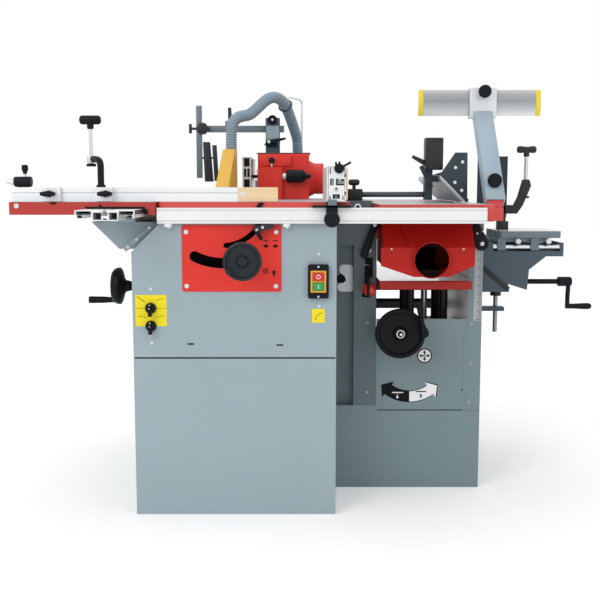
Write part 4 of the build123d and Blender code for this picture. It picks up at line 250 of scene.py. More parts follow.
# Painted shade: dark patches on the carriage's end face for the shade in its hollow cells, and a dark right side
# face
carriageCellShades = [
    (-591, -555, 819.5, 829), (-589, -576, 812.5, 817.5), (-550, -530, 808.5, 826.5), (-511, -491, 808.5, 826.5),
    (-487, -453, 819.5, 829), (-469, -454, 812, 817.5), (-526, -517, 808, 812),
]
cellShadeRegions = [[(0, a * mm, b * mm), (1, -0.5605, -0.5595), (2, c * mm, d * mm)] for a, b, c, d in carriageCellShades]
paintRegions(carriageAlu, "#24282b", cellShadeRegions + [[(0, -0.4485, -0.4475), (1, -0.5595, -0.30)]])
guardAlu = anodised("brushedGuard", "#bcc1c4", "x", rough=0.4, metal=0.5)
# Painted reflection: the bowed face of the bridge is coloured pale low down, for the bright floor it faces, and
# darker above, for the room
bridgeAlu = anodised("bowedGuard", "#c4c8ca", "x", rough=0.35, metal=0.4)
bridgeReflectionTones = [(0, "#e4e6e7"), (0.25, "#bcc0c2"), (0.55, "#93979a"), (0.8, "#a6aaac"), (1, "#c8cbcd")]
bridgeTree = bridgeAlu.node_tree
where = bridgeTree.nodes["Texture Coordinate"].outputs["Object"]
height = addNode(bridgeTree, "ShaderNodeSeparateXYZ", {0: where})
bridgeFoot, bridgeTop = (corner[2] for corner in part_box("bridge_guard"))
share = {"Value": height.outputs[2], "From Min": bridgeFoot, "From Max": bridgeTop}
ramp = addNode(bridgeTree, "ShaderNodeValToRGB", {0: addNode(bridgeTree, "ShaderNodeMapRange", share).outputs[0]})
stops = ramp.color_ramp.elements
for k, (spot, color) in enumerate(bridgeReflectionTones):
    stop = stops.new(spot) if 0 < k < len(bridgeReflectionTones) - 1 else stops[0 if k == 0 else -1]
    stop.position = spot
    stop.color = hexColor(color)
bridgeTree.links.new(ramp.outputs[0], bridgeTree.nodes["Principled BSDF"].inputs["Base Color"])
brightSteel = steel("turnedSteel", "#c9cdd0")
darkSteel = steel("blackenedSteel", "#4d5459", rough=0.4, metal=0.6)
zinc = steel("zincPlate", "#d5d9dc", rough=0.35, metal=0.5)
scaleSteel = steel("etchedSteel", "#a2a9ac", rough=0.45, metal=0.3)
blackPlastic = moulded("blackNylon", "#12171c", shine=0.14)
softBlack = moulded("blackPhenolic", "#1d242b", rough=0.36, shine=0.25)
# Painted shade: a darker copy of the black phenolic, for the handwheels that stand in shade
shadedBlack = moulded("shadedBlackPhenolic", "#0d1114", shine=0.12)
redPlastic = moulded("redPlastic", "#d2261f", rough=0.3)
greenPlastic = moulded("greenPlastic", "#2f9a52", rough=0.35)
guardYellow = moulded("yellowPlastic", "#e2b037", **matt)
lemonPlastic = moulded("lemonPlastic", "#f2dc2e")
amberPlastic = moulded("amberPlastic", "#e9a92c")
whitePlastic = moulded("whitePlastic", "#f0f1f1")
hosePlastic = moulded("greyHosePlastic", "#8c9daa", rough=0.5, shine=0.3)
beltRubber = moulded("beltRubber", "#1b1b1c", rough=0.7)
beechWood = beech("planedBeech")
yellowVinyl = vinyl("yellowVinyl", "#f5e231")
blackVinyl = vinyl("blackVinyl", "#0d0f11")
halfShadeVinyl = vinyl("halfShadeVinyl", "#8d9498")
whiteVinyl = vinyl("whiteVinyl", "#f4f5f5")
ochreVinyl = vinyl("ochreVinyl", "#97851b")
seamShadow = vinyl("seamShadow", "#39444a")
seamLine = vinyl("seamLine", "#69777c")
print("materials made")


def addBox(bm, low, high):
    made = bmesh.ops.create_cube(bm, size=1)["verts"]
    middle = [(a + b) / 2 for a, b in zip(low, high)]
    size = [b - a for a, b in zip(low, high)]
    bmesh.ops.transform(bm, matrix=Matrix.Translation(middle) @ Matrix.Diagonal((*size, 1)), verts=made)


# Skin over a row of rings, of which those at the ends may be single points
def joinRings(bm, rings, sides):
    for one, two in zip(rings, rings[1:]):
        for k in range(sides):
            around = [one[k % len(one)], one[(k + 1) % len(one)], two[(k + 1) % len(two)], two[k % len(two)]]
            loop = list(dict.fromkeys(around))
            if len(loop) > 2:
                bm.faces.new(loop)
    for ring in (rings[0], rings[-1]):
        if len(ring) > 1:
            bm.faces.new(ring)


def addPrism(bm, outline, span, axis="y"):
    order = {"x": (2, 0, 1), "y": (0, 2, 1)}[axis]
    joinRings(bm, [[bm.verts.new([(*p, s)[k] for k in order]) for p in outline] for s in span], len(outline))


def addTube(bm, start, end, radius):
    a, b = Vector(start), Vector(end)
    turn = (b - a).to_track_quat("Z", "Y").to_matrix().to_4x4()
    bmesh.ops.create_cone(
        bm, cap_ends=True, segments=32, radius1=radius, radius2=radius, depth=(b - a).length,
        matrix=Matrix.Translation((a + b) / 2) @ turn,
    )


def addLathe(bm, centre, axis, profile, sides=48):
    turn = Vector(axis).to_track_quat("Z", "Y").to_matrix()
    rings = []
    for radius, along in profile:
        count = 1 if radius < 0.001 else sides
        angles = [2 * math.pi * k / sides for k in range(count)]
        spots = [Vector((radius * math.cos(t), radius * math.sin(t), along)) for t in angles]
        rings.append([bm.verts.new(Vector(centre) + turn @ p) for p in spots])
    joinRings(bm, rings, sides)


def addSweep(bm, points, radius, sides=18):
    spots = [Vector(p) for p in points]
    turns = [2 * math.pi * j / sides for j in range(sides)]
    rings = []
    side = None
    for k, spot in enumerate(spots):
        ahead = (spots[min(k + 1, len(spots) - 1)] - spots[max(k - 1, 0)]).normalized()
        if side is None:
            side = ahead.orthogonal().normalized()
        side = (side - ahead * side.dot(ahead)).normalized()
        up = ahead.cross(side)
        rings.append([bm.verts.new(spot + (side * math.cos(t) + up * math.sin(t)) * radius) for t in turns])
    joinRings(bm, rings, sides)


def addBall(bm, centre, radius):
    matrix = Matrix.Translation(centre)
    bmesh.ops.create_uvsphere(bm, u_segments=32, v_segments=18, radius=radius, matrix=matrix)


def addHull(bm, points):
    bmesh.ops.convex_hull(bm, input=[bm.verts.new(p) for p in points])


# A shape is the function that adds it to a mesh and what that function needs
def asShape(add):
    return lambda *facts: (add, facts)


box, prism, tube, lathe = (asShape(add) for add in (addBox, addPrism, addTube, addLathe))
sweep, ball, hull = (asShape(add) for add in (addSweep, addBall, addHull))


# Blocks that lie between two depths, each given by its left, right, low and high edge
def panels(depth, *edges):
    return [box((left, depth[0], low), (right, depth[1], high)) for left, right, low, high in edges]


def moved(x, z, outline):
    return [(x + p, z + q) for p, q in outline]


def smoothPath(points, count=10):
    spots = [Vector(p) for p in points]
    path = []
    for k in range(len(spots) - 1):
        a, b = spots[max(k - 1, 0)], spots[k]
        c, d = spots[k + 1], spots[min(k + 2, len(spots) - 1)]
        for t in (j / count for j in range(count)):
            bend = (2 * a - 5 * b + 4 * c - d) * t * t + (3 * b - a - 3 * c + d) * t**3
            path.append(0.5 * (2 * b + (c - a) * t + bend))
    return path + [spots[-1]]


def circle(centre, radius, count=32, start=0, turn=360):
    steps = count if turn >= 360 else count + 1
    angles = [math.radians(start + turn * k / count) for k in range(steps)]
    return [(centre[0] + radius * math.cos(t), centre[1] + radius * math.sin(t)) for t in angles]


def arrowMark(x, z, size, angle):
    points = [(-0.5, -0.15), (0.05, -0.15), (0.05, -0.4), (0.5, 0), (0.05, 0.4), (0.05, 0.15), (-0.5, 0.15)]
    c, s = math.cos(math.radians(angle)), math.sin(math.radians(angle))
    return [(x + size * (p * c - q * s), z + size * (p * s + q * c)) for p, q in points]


# Half of a curved arrow, from the middle of the mark to the tip on one side
def arcArrow(mark, side, grow=0):
    def on(radius, angle):
        t = math.radians(angle)
        return (mark["x"] + radius * math.cos(t), mark["z"] + radius * math.sin(t))

    low, high, barb = mark["inner"] - grow, mark["outer"] + grow, mark["barb"]
    start, end = mark["middle"] - side * grow * 0.2, mark["middle"] + side * (mark["half"] + grow * 0.5)
    steps = [start + (end - start) * k / 16 for k in range(17)]
    tip = on((low + high) / 2 + barb / 3, end + side * (mark["tip"] + grow * 0.3))
    head = [on(high + barb, end), tip, on(low - barb, end)]
    return [on(high, t) for t in steps] + head + [on(low, t) for t in steps[::-1]]


def addObject(name, data, place=(0, 0, 0), turn=(0, 0, 0)):
    item = bpy.data.objects.new(name, data)
    item.location, item.rotation_euler = place, turn
    bpy.context.scene.collection.objects.link(item)
    return item


def keepPiece(name, mesh, material, body, replaced=None):
    mesh.materials.clear()
    mesh.materials.append(material)
    piece = addObject(name, mesh)
    if body:
        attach(piece, body)
    if replaced:
        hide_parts(replaced)
    return piece


def shapeMesh(name, shapes, bevel=0):
    bm = bmesh.new()
    for add, facts in shapes:
        add(bm, *facts)
    bmesh.ops.recalc_face_normals(bm, faces=bm.faces)
    if bevel:
        sharp = [e for e in bm.edges if e.is_manifold and e.calc_face_angle(0) > math.radians(40)]
        bmesh.ops.bevel(
            bm, geom=sharp, offset=bevel, segments=2, profile=0.5, affect="EDGES", clamp_overlap=True
        )
    bmesh.ops.scale(bm, vec=(mm, mm, mm), verts=bm.verts)
    mesh = bpy.data.meshes.new(name)
    bm.to_mesh(mesh)
    bm.free()
    mesh.shade_smooth()
    mesh.set_sharp_from_angle(angle=math.radians(35))
    return mesh


def makePiece(name, material, shapes, body="frame", bevel=0, replaced=None):
    return keepPiece(name, shapeMesh(name, shapes, bevel), material, body, replaced)


# Camera at the height and slant of the photograph
cameraFacts = {"place": (-0.042, -2.817, 0.8886), "tilt": 82.97, "lens": 54.96, "sensor": 36}
cameraData = bpy.data.cameras.new("camera")
cameraData.lens, cameraData.sensor_width = cameraFacts["lens"], cameraFacts["sensor"]
cameraTurn = (math.radians(cameraFacts["tilt"]), 0, 0)
bpy.context.scene.camera = addObject("camera", cameraData, cameraFacts["place"], cameraTurn)


def plainMesh(source):
    bpy.context.view_layer.update()
    return bpy.data.meshes.new_from_object(source.evaluated_get(bpy.context.evaluated_depsgraph_get()))


def startTree(name, sockets):
    tree = bpy.data.node_groups.new(name, "GeometryNodeTree")
    for label, kind in sockets.items():
        tree.interface.new_socket(label, in_out="INPUT", socket_type="NodeSocket" + kind)
    tree.interface.new_socket("Result", in_out="OUTPUT", socket_type="NodeSocketGeometry")
    return tree, addNode(tree, "NodeGroupInput").outputs


def endTree(tree, geometry, material):
    whole = addNode(tree, "GeometryNodeRealizeInstances", {0: geometry})
    coloured = addNode(tree, "GeometryNodeSetMaterial", {"Geometry": whole.outputs[0], "Material": material})
    addNode(tree, "NodeGroupOutput", {0: coloured.outputs[0]})


def runTree(source, tree, inputs):
    modifier = source.modifiers.new("nodes", "NODES")
    modifier.node_group = tree
    sockets = {item.name: item.identifier for item in tree.interface.items_tree}
    for name, value in inputs.items():
        modifier[sockets[name]] = value
    mesh = plainMesh(source)
    source.modifiers.remove(modifier)
    return mesh


# Dust hose from the saw guard over to the spindle hood, with its ribs set by Geometry Nodes
hose = {
    "route": [
        (-0.255, 0.060, 1.003), (-0.255, 0.060, 1.045), (-0.252, 0.062, 1.089), (-0.228, 0.080, 1.108),
        (-0.200, 0.100, 1.111), (-0.172, 0.127, 1.140), (-0.145, 0.150, 1.168), (-0.119, 0.172, 1.1755),
        (-0.096, 0.203, 1.163), (-0.083, 0.235, 1.139), (-0.068, 0.285, 1.100), (-0.054, 0.318, 1.060),
        (-0.050, 0.318, 1.028), (-0.050, 0.318, 1.000),
    ],
    "length": 0.525, "radius": 0.018, "groove": 0.0026, "ribs": 68, "sides": 28, "ring": 9,
}
curve = bpy.data.curves.new("hoseRoute", "CURVE")
curve.dimensions, curve.resolution_u = "3D", 24
spline = curve.splines.new("NURBS")
spline.points.add(len(hose["route"]) - 1)
for point, spot in zip(spline.points, hose["route"]):
    point.co = (*spot, 1)
spline.order_u, spline.use_endpoint_u = 3, True
holder = addObject("hoseRoute", curve)
routeMesh = plainMesh(holder)
hosePath = [v.co.copy() for v in routeMesh.vertices]
bpy.data.objects.remove(holder)
bpy.data.meshes.remove(routeMesh)

hoseTree, hoseIn = startTree("ribbedHose", {
    "Geometry": "Geometry", "Radius": "Float", "Groove": "Float", "Ribs": "Int", "Sides": "Int",
    "Material": "Material",
})
line = addNode(hoseTree, "GeometryNodeMeshToCurve", {"Mesh": hoseIn["Geometry"]})
count = addNode(hoseTree, "ShaderNodeMath", {0: hoseIn["Ribs"], 1: 8}, operation="MULTIPLY")
even = addNode(hoseTree, "GeometryNodeResampleCurve", {"Curve": line.outputs[0], "Count": count.outputs[0]})
wave = addNode(hoseTree, "GeometryNodeSplineParameter").outputs["Factor"]
for operation, by in (
    ("MULTIPLY", hoseIn["Ribs"]), ("MULTIPLY", 2 * math.pi), ("COSINE", 0), ("ADD", -1), ("MULTIPLY", 0.5)
):
    wave = addNode(hoseTree, "ShaderNodeMath", {0: wave, 1: by}, operation=operation).outputs[0]
depth = {0: wave, 1: hoseIn["Groove"], 2: hoseIn["Radius"]}
sunk = addNode(hoseTree, "ShaderNodeMath", depth, operation="MULTIPLY_ADD").outputs[0]
sized = addNode(hoseTree, "GeometryNodeSetCurveRadius", {"Curve": even.outputs[0], "Radius": sunk})
ring = addNode(hoseTree, "GeometryNodeCurvePrimitiveCircle", {"Resolution": hoseIn["Sides"], "Radius": 1})
outlines = {"Curve": sized.outputs[0], "Profile Curve": ring.outputs[0], "Fill Caps": True}
skin = addNode(hoseTree, "GeometryNodeCurveToMesh", outlines)
if "Scale" in skin.inputs:
    hoseTree.links.new(sunk, skin.inputs["Scale"])
endTree(hoseTree, skin.outputs[0], hoseIn["Material"])
lineMesh = bpy.data.meshes.new("hoseLine")
lineMesh.from_pydata(hosePath, [(k, k + 1) for k in range(len(hosePath) - 1)], [])
holder = addObject("hoseHolder", lineMesh)
hoseInputs = {label: hose[label.lower()] for label in ("Radius", "Groove", "Ribs", "Sides")}
hoseMesh = runTree(holder, hoseTree, {**hoseInputs, "Material": hosePlastic})
bpy.data.objects.remove(holder)
hoseMesh.shade_smooth()
hosePiece = addObject("dustHose", hoseMesh)
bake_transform(hosePiece)
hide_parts("dust_hose")
print("hose made:", round(sum((b - a).length for a, b in zip(hosePath, hosePath[1:])), 4), "m")

# One tree sets a copy of a small part, such as a screw, on every point that it is given
repeatSockets = {"Geometry": "Geometry", "Part": "Object", "Material": "Material"}
repeatTree, repeatIn = startTree("repeatOnPoints", repeatSockets)
partInfo = addNode(repeatTree, "GeometryNodeObjectInfo", {"Object": repeatIn["Part"]})
spread = {"Points": repeatIn["Geometry"], "Instance": partInfo.outputs["Geometry"]}
copies = addNode(repeatTree, "GeometryNodeInstanceOnPoints", spread)
endTree(repeatTree, copies.outputs[0], repeatIn["Material"])


def repeatPiece(name, material, shapes, places, body="frame"):
    points = bpy.data.meshes.new(name + "Points")
    points.from_pydata([[c * mm for c in place] for place in places], [], [])
    part = addObject(name + "Part", shapeMesh(name + "Part", shapes))
    holder = addObject(name + "Points", points)
    mesh = runTree(holder, repeatTree, {"Part": part, "Material": material})
    for item in (part, holder):
        bpy.data.objects.remove(item)
    return keepPiece(name, mesh, material, body)


# Socket screws that face the front, with their heads on one face
def setScrews(name, size, face, spots, material=zinc, body="frame"):
    radius, height = size
    profile = [
        (0, height * 0.4), (radius * 0.45, height * 0.4), (radius * 0.45, height), (radius * 0.8, height),
        (radius, height * 0.7), (radius, -0.5), (0, -0.5),
    ]
    screw = [lathe((0, 0, 0), toFront, profile, 20)]
    repeatPiece(name, material, screw, [(x, face, z) for x, z in spots], body)


# Finishes of the pieces whose CAD shape stays
nodeFinish = {
    cabinetEnamel: "saw_cabinet front_panels slide_console",
    shadedPlanerEnamel: "planer_plinth",
    housingShadeAndLightEnamel: "right_housing",
    deepShadedColumnEnamel: "drive_column",
    redEnamel: "tilt_plate spindle_hood guard_arm",
    deepRedEnamel: "planer_hood",
    redCasting: "saw_table infeed_table outfeed_table",
    beamCasting: "carriage_table",
    bedCasting: "thicknesser_bed",
    aluAlongX: "front_rail crosscut_fence",
    aluAlongY: "rip_fence",
    fenceAlu: "spindle_fences",
    carriageAlu: "carriage",
    guardYellow: "saw_guard",
    beechWood: "fence_board",
    bracketEnamel: "mortiser_bracket",
    darkEnamel: "lift_base arbor_slide spindle_quill",
    kneeEnamel: "mortiser_knee",
    greyCasting: "mortiser_table",
    slateEnamel: "mortiser_saddle hold_down_arm fence_rod_block planer_fence",
    blackEnamel: "saw_trunnion",
    blackPlastic: "switch_plate selector_knob_upper selector_knob_lower rip_carrier table_lever table_lock_lever"
    " mortiser_crank mortiser_clamp fence_fittings hood_fittings clamp_screw feed_lever",
    softBlack: "rise_handwheel spindle_handwheel bed_handwheel",
    redPlastic: "stop_button",
    greenPlastic: "start_button",
    brightSteel: "saw_blade splitter spindle_shaft cutter_block feed_roller_front feed_roller_back",
    bridgeAlu: "bridge_guard",
    motorEnamel: "planer_motor",
    beltRubber: "planer_belt",
}
for material, members in nodeFinish.items():
    for member in members.split():
        mesh = nodes[member].data
        mesh.materials.clear()
        mesh.materials.append(material)
missing = set(nodes) - set(" ".join(nodeFinish.values()).split()) - {"dust_hose"}
print("finishes set, nodes without one:", sorted(missing))


# Handwheels: a dished black disc with a raised rim, a hub and a handle
def wheelProfile(wheel):
    rim, width, hub = wheel["rim"], wheel["width"], wheel["hub"]
    return [
        (hub, 0), (hub + 2, 3), (rim * 0.86, 4), (rim * 0.9, 0.5), (rim * 0.97, 1.5), (rim, width * 0.35),
        (rim, width * 0.7), (rim * 0.97, width * 0.93), (rim * 0.91, width), (rim * 0.85, width * 0.95),
        (rim * 0.8, width * 0.62), (hub + 4, width * 0.55), (hub + 1, width * 0.85), (hub - 2, width), (0, width),
    ]


def capsule(radius, length):
    half = [(0, 0), (radius * 0.55, 0.5), (radius * 0.88, radius * 0.35), (radius, radius * 0.85)]
    return half + [(out, length - along) for out, along in half[::-1]]


def knobProfile(radius, length, neck=0.55):
    return [
        (0, 0), (radius * neck, 0), (radius * (neck + 0.08), length * 0.22), (radius * 0.9, length * 0.36),
        (radius, length * 0.48), (radius, length * 0.8), (radius * 0.9, length * 0.95), (radius * 0.6, length),
        (0, length),
    ]


riseWheel = {"back": -478, "rim": 50, "width": 16, "hub": 13, "crank": (-34, -25), "inner": -182}
x, _, z = pivots["rise_wheel_turn"]
back, inner = riseWheel["back"], riseWheel["inner"]
crankX, crankZ = x + riseWheel["crank"][0], z + riseWheel["crank"][1]
makePiece("riseWheel", softBlack, [
    lathe((x, back, z), toFront, wheelProfile(riseWheel)),
    lathe((crankX, back - 6, crankZ), toFront, capsule(8.5, 22)),
    lathe((x, back - 15.5, z), toFront, [(0, 0), (11, 0), (11, 1.5), (10, 2.2), (0, 2.2)]),
], "rise_wheel", replaced="rise_handwheel")
shaft = ((inner, back + 1, 8), (inner - 6, inner, 17), (back + 40, back + 1, 12))
makePiece("riseShaft", brightSteel, [tube((x, a, z), (x, b, z), r) for a, b, r in shaft], "rise_wheel")

leftWheel = {"back": -508, "rim": 50, "drop": 38, "reach": 80}
_, y, z = pivots["spindle_wheel_turn"]
back, rim = leftWheel["back"], leftWheel["rim"]
makePiece("leftWheel", shadedBlack, [
    lathe((back, y, z), toLeft, [
        (0, -19.5), (9, -19.5), (9.5, -13), (13, -7), (15, 0), (16, 6), (23, 11), (44, 17), (rim, 21), (rim, 28),
        (47, 36), (40, 42), (36, 41), (34, 34), (20, 27), (16, 30), (0, 31)]),
    lathe((back - 30, y, z - leftWheel["drop"]), toLeft, [
        (0, 0), (8, 0), (7.5, 12), (7.5, 18), (9, 40), (9.5, 74), (9, 78), (0, leftWheel["reach"])]),
], "spindle_wheel", replaced="spindle_handwheel")
shaft = ((back + 1, -433, 10), (back + 1, -488.3, 8), (-484, -472, 15), (-448, -433, 22))
makePiece("leftShaft", brightSteel, [tube((a, y, z), (b, y, z), r) for a, b, r in shaft], "spindle_wheel")

bedWheel = {"back": -252, "rim": 71, "width": 18, "hub": 17, "fold": (58, 33)}
x, _, z = pivots["bed_wheel_turn"]
back, face = bedWheel["back"], bedWheel["back"] - bedWheel["width"]
foldX, foldZ, foldY = x + bedWheel["fold"][0], z + bedWheel["fold"][1], face - 15
foldTop, foldEnd = Vector((foldX - 12, foldY, foldZ + 53)), Vector((foldX + 10, foldY, foldZ - 40))
foldTip = [(6.5, 34), (8, 28), (12, 20), (13, 11), (11, 3), (7, 0.5), (0, 0)]
foldLength = (foldEnd - foldTop).length
makePiece("bedWheel", shadedBlack, [
    lathe((x, back, z), toFront, wheelProfile(bedWheel)),
    lathe(foldTop, foldEnd - foldTop, [(0, 0), (5, 0.5), (6.5, 4)] + [(r, foldLength - d) for r, d in foldTip]),
    tube((foldX, back - 9, foldZ), (foldX, foldY, foldZ), 5),
    lathe((x, face + 0.5, z), toFront, [(0, 0), (8.5, 0), (8.5, 1.8), (0, 1.8)]),
], "bed_wheel", replaced="bed_handwheel")
makePiece("bedWheelShaft", brightSteel, [
    tube((x, -74, z), (x, back + 1, z), 8),
    tube((x, -188, z), (x, back + 1, z), 15),
    lathe((x, face + 0.5, z), toFront, [(8.4, 0), (8.4, 4), (9.5, 5), (11.5, 4.6), (13, 2.5), (13, 0)]),
    lathe((x + 1.5, face, z - 1.5), toFront, [(0, 0), (4, 0), (4, 3.4), (3, 4.2), (0, 4.4)]),
], "bed_wheel")
print("handwheels made")

# Selector knobs with a pointer, and the yellow plate that they stand on
selector = {"face": -402, "radius": 15, "depth": 12, "point": 22, "inner": -382}
face, tip = selector["face"], selector["face"] - selector["point"]
for half in ("upper", "lower"):
    node, body = "selector_knob_" + half, "selector_" + half
    low, high = corners(node)
    x, z = (low[0] + high[0]) / 2, high[2] - selector["radius"]
    makePiece("selectorKnob." + half, blackPlastic, [
        lathe((x, face, z), toFront, [
            (0, 0), (15, 0), (15, 1.5), (13.5, 9.5), (12, 11.5), (0, selector["depth"])]),
        prism(moved(x, z, [(-5, -20.5), (5, -20.5), (4, 14), (-4, 14)]), (tip, face - 8)),
        tube((x, face, z), (x, selector["inner"], z), 5),
    ], body, 1.2, node)
    setScrews("selectorDots." + half, (1.6, 1), tip, [(x - 1, z + 1), (x, z + 10)], body=body)
label = {"selector": (-480, -397, 520, 604), "small": (-10, 24, 530, 567), "thick": 0.5}
panelFace = corners("front_panels")[0][1]
labelDepth, inkDepth = (panelFace - label["thick"], panelFace), (panelFace - 0.9, panelFace - 0.4)
makePiece("selectorLabel", yellowVinyl, panels(labelDepth, label["selector"]))
makePiece("smallLabel", yellowVinyl, panels(labelDepth, label["small"]))
arc = {"outer": 21, "inner": 19.8, "half": 20, "tip": 9, "barb": 1.6}
arcs = [{**arc, "x": x, "z": z, "middle": t} for x, z, t in ((-410, 573, 102), (-467, 527, 78), (-410, 527, 102))]
arcs.append({**arc, "x": 19, "z": 535, "inner": 19.6, "middle": 135, "half": 30})
makePiece("labelInk", ochreVinyl, [
    *panels(inkDepth, (*label["selector"][:2], 567.8, 568.8)),
    prism([(-476, 599), (-474, 600.5), (-453.5, 586), (-454.5, 584)], inkDepth),
    *(prism(arcArrow(mark, side), inkDepth) for mark in arcs for side in (-1, 1)),
])

# Frame of the switch, marks on its buttons
switch = {"bars": (-14, -8.6, 21.6, 27), "low": 612, "high": 670, "gap": 0.5, "thick": 2}
(switchLow, switchHigh), (stopLow, stopHigh) = corners("switch_plate"), corners("stop_button")
startLow, startHigh = corners("start_button")
bars, low, high, gap, thick = switch.values()
switchFace = switchLow[1]
makePiece("switchFrame", amberPlastic, panels(
    (switchFace - thick, switchFace), (*bars[:2], low, high), (*bars[2:], low, high),
    (*bars[1:3], low, startLow[2] - gap), (*bars[1:3], startHigh[2] + gap, stopLow[2] - gap),
    (*bars[1:3], stopHigh[2] + gap, high),
), bevel=0.4)
markX = (stopLow[0] + stopHigh[0]) / 2
stopZ, startZ = (stopLow[2] + stopHigh[2]) / 2, (startLow[2] + startHigh[2]) / 2
setScrews("switchScrews", (2.6, 1), switchFace, [(markX, switchLow[2] + 5), (markX, switchHigh[2] - 6)])
makePiece("stopMark", whiteVinyl, [
    lathe((markX, stopLow[1] + 0.1, stopZ), toFront, [(4.2, 0), (4.2, 0.4), (5.8, 0.4), (5.8, 0)]),
], "stop")
startInk = (startLow[1] - 0.3, startLow[1] + 0.1)
makePiece("startMark", whiteVinyl, panels(startInk, (markX - 0.9, markX + 0.9, startZ - 5, startZ + 5)), "start")
print("control panel dressed")

# Wing knobs, end stop and clamp post of the crosscut fence
fenceFits = {"knobs": (-694.5, -547), "knobZ": 871, "plate": -417, "line": -392.5, "stop": -791}
knobs, knobZ, plate, line, stopLeft = fenceFits.values()
fenceTop = corners("crosscut_fence")[1][2]
stopX, stopZ = stopLeft + 28, fenceTop + 14.5
wing = [(-19, -4), (-8, -7), (8, -7), (19, -4), (19, 4), (8, 7), (-8, 7), (-19, 4)]
makePiece("fenceKnobs", blackPlastic, [
    *(lathe((x, plate, knobZ), toFront, [(0, 0), (9, 0), (9, 9), (7, 12), (0, 12)]) for x in knobs),
    *(prism(moved(x, knobZ, wing), (plate - 22, plate - 10)) for x in knobs),
    lathe((stopLeft, line, stopZ), toRight, [(0, 0), (12, 0), (13.5, 1.5), (13.5, 43.5), (12, 45), (0, 45)]),
    box((stopLeft + 8, line - 9, fenceTop), (stopLeft + 37, line + 9, stopZ - 4)),
    lathe((stopX, line, stopZ + 20), toTop, knobProfile(8.5, 24)),
    lathe((-564.5, line, fenceTop), toTop, [(0, 0), (12, 0), (12, 5), (10, 7), (0, 7)]),
    sweep(smoothPath([
        (-564.5, line, 888), (-564.5, line, 920), (-564.5, line, 946), (-570, line + 7, 958),
        (-584, line + 25, 962), (-592, line + 35, 962)]), 8.6),
], "crosscut", 0.8, "fence_fittings")
clamp = {"x": -598, "y": -350, "handle": 1065, "foot": 943}
cx, cy, handleZ, footZ = clamp.values()
makePiece("fenceSteel", zinc, [
    tube((-812, line, stopZ), (-790, line, stopZ), 6),
    tube((-799, line, stopZ), (-790, line, stopZ), 9),
    tube((stopX, line, stopZ + 12), (stopX, line, stopZ + 26), 4),
    lathe((cx, cy, footZ + 10), toTop, [(5, 0), (11, 0), (12, 2), (12, 15), (10, 17), (5, 17)]),
], "crosscut", 0.4)
makePiece("clampHandle", blackPlastic, [
    lathe((cx - 28.5, cy, handleZ), toRight, [
        (0, 0), (6.5, 0.5), (10.5, 3), (12, 8), (12, 49), (10.5, 54), (6.5, 56.5), (0, 57)]),
    lathe((cx, cy, handleZ - 24), toTop, [(0, 0), (7, 0), (9, 4), (8.5, 24), (0, 24)]),
    lathe((cx, cy, footZ), toTop, [(0, 0), (12, 0), (13, 1.5), (13, 6), (9, 8), (0, 8)]),
], "clamp", replaced="clamp_screw")
makePiece("clampRod", brightSteel, [tube((cx, cy, footZ + 6), (cx, cy, handleZ - 20), 4.5)], "clamp")
beamFits = {"bolt": (-777, 840), "hole": (-560, 841), "slot": -682, "strip": (-600, -444)}
beamFace = corners("carriage_table")[0][1]
beamBack, holeX, holeZ, slotX = beamFace + 0.2, *beamFits["hole"], beamFits["slot"]
# Painted shade: the black strip along the foot of the beam over the carriage, and the black slot and hole, stand
# for shade
makePiece("beamStrip", blackPlastic, [
    *panels((beamFace - 0.8, beamBack), (*beamFits["strip"], 832.2, 838)),
    *panels((beamFace - 4, beamBack), (-447, -437, 818, 832)),
    *panels((beamFace - 0.5, beamBack), (slotX - 8, slotX + 8, 844, 849.6)),
    tube((holeX, beamFace - 0.5, holeZ), (holeX, beamBack, holeZ), 3.5),
], "sliding_table")
setScrews("beamScrews", (6.5, 3), beamFace, [beamFits["bolt"]], body="sliding_table")
setScrews("boardScrews", (6.5, 1.5), corners("fence_board")[0][1], [(-190, 870)], body="crosscut")
print("crosscut fence dressed")

# Hold-down: slate bars on a post, black shoes and knobs
hold = {
    "bar": -370, "right": -94, "y": 230, "z": 1077, "half": 10.5, "barWide": 18, "low": 918,
    "top": 1150, "upright": -270,
}
barX, armRight, armY, armZ, half, barWide, barLow, barTop, upX = hold.values()
armFront, armBack, armLow, armTop = armY - half, armY + half, armZ - half, armZ + half
barFront = armFront - barWide
makePiece("holdDownBars", slateEnamel, [
    *panels((armFront, armBack), (barX, armRight, armLow, armTop)),
    *panels((armFront, armBack), (upX - 16, upX + 16, armTop - 0.5, armTop + 16)),
    *panels((barFront, armFront), (barX - 9, barX + 9, barLow, barTop)),
    *panels((barFront + 13, armFront), (barX, barX + 50, barLow + 62, barLow + 68)),
], "hold_down", 1.2, "hold_down_arm")
shoeDepth, screwY = (barFront + 2, barFront + 14), barFront + 9
joint = [(-11, 0), (2, -18), (20, -18), (33, 0), (20, 18), (2, 18)]
makePiece("holdDownShoes", blackEnamel, [
    prism(moved(barX, barLow, [(17, -12), (45, -12), (35, 116), (12, 116)]), shoeDepth),
    prism(moved(barX, barLow, [(48, -10), (62, -10), (56, 106), (42, 106)]), shoeDepth),
    prism(moved(upX, armTop, [(-7, 0), (7, 0), (3, 58.5), (-7, 58.5)]), (armY - 7, armY + 7)),
    prism(moved(barX, armZ, joint), (barFront - 4, armFront)),
    tube((barX, screwY, armZ), (barX - 26, screwY, armZ), 4),
    *panels((screwY - 5, screwY + 5), (barX - 33, barX - 24, armZ - 15, armZ + 15)),
], "hold_down", 0.8)
post = {"x": -131, "half": 23, "low": 994, "top": 1112, "run": 0.3, "latch": 1034}
px, half, postLow, postTop, run, latchZ = post.values()
left, right, postFront, postBack = px - half, px + half, armY - half, armY + half
slotLow, slotHigh = armLow - run, armTop + run
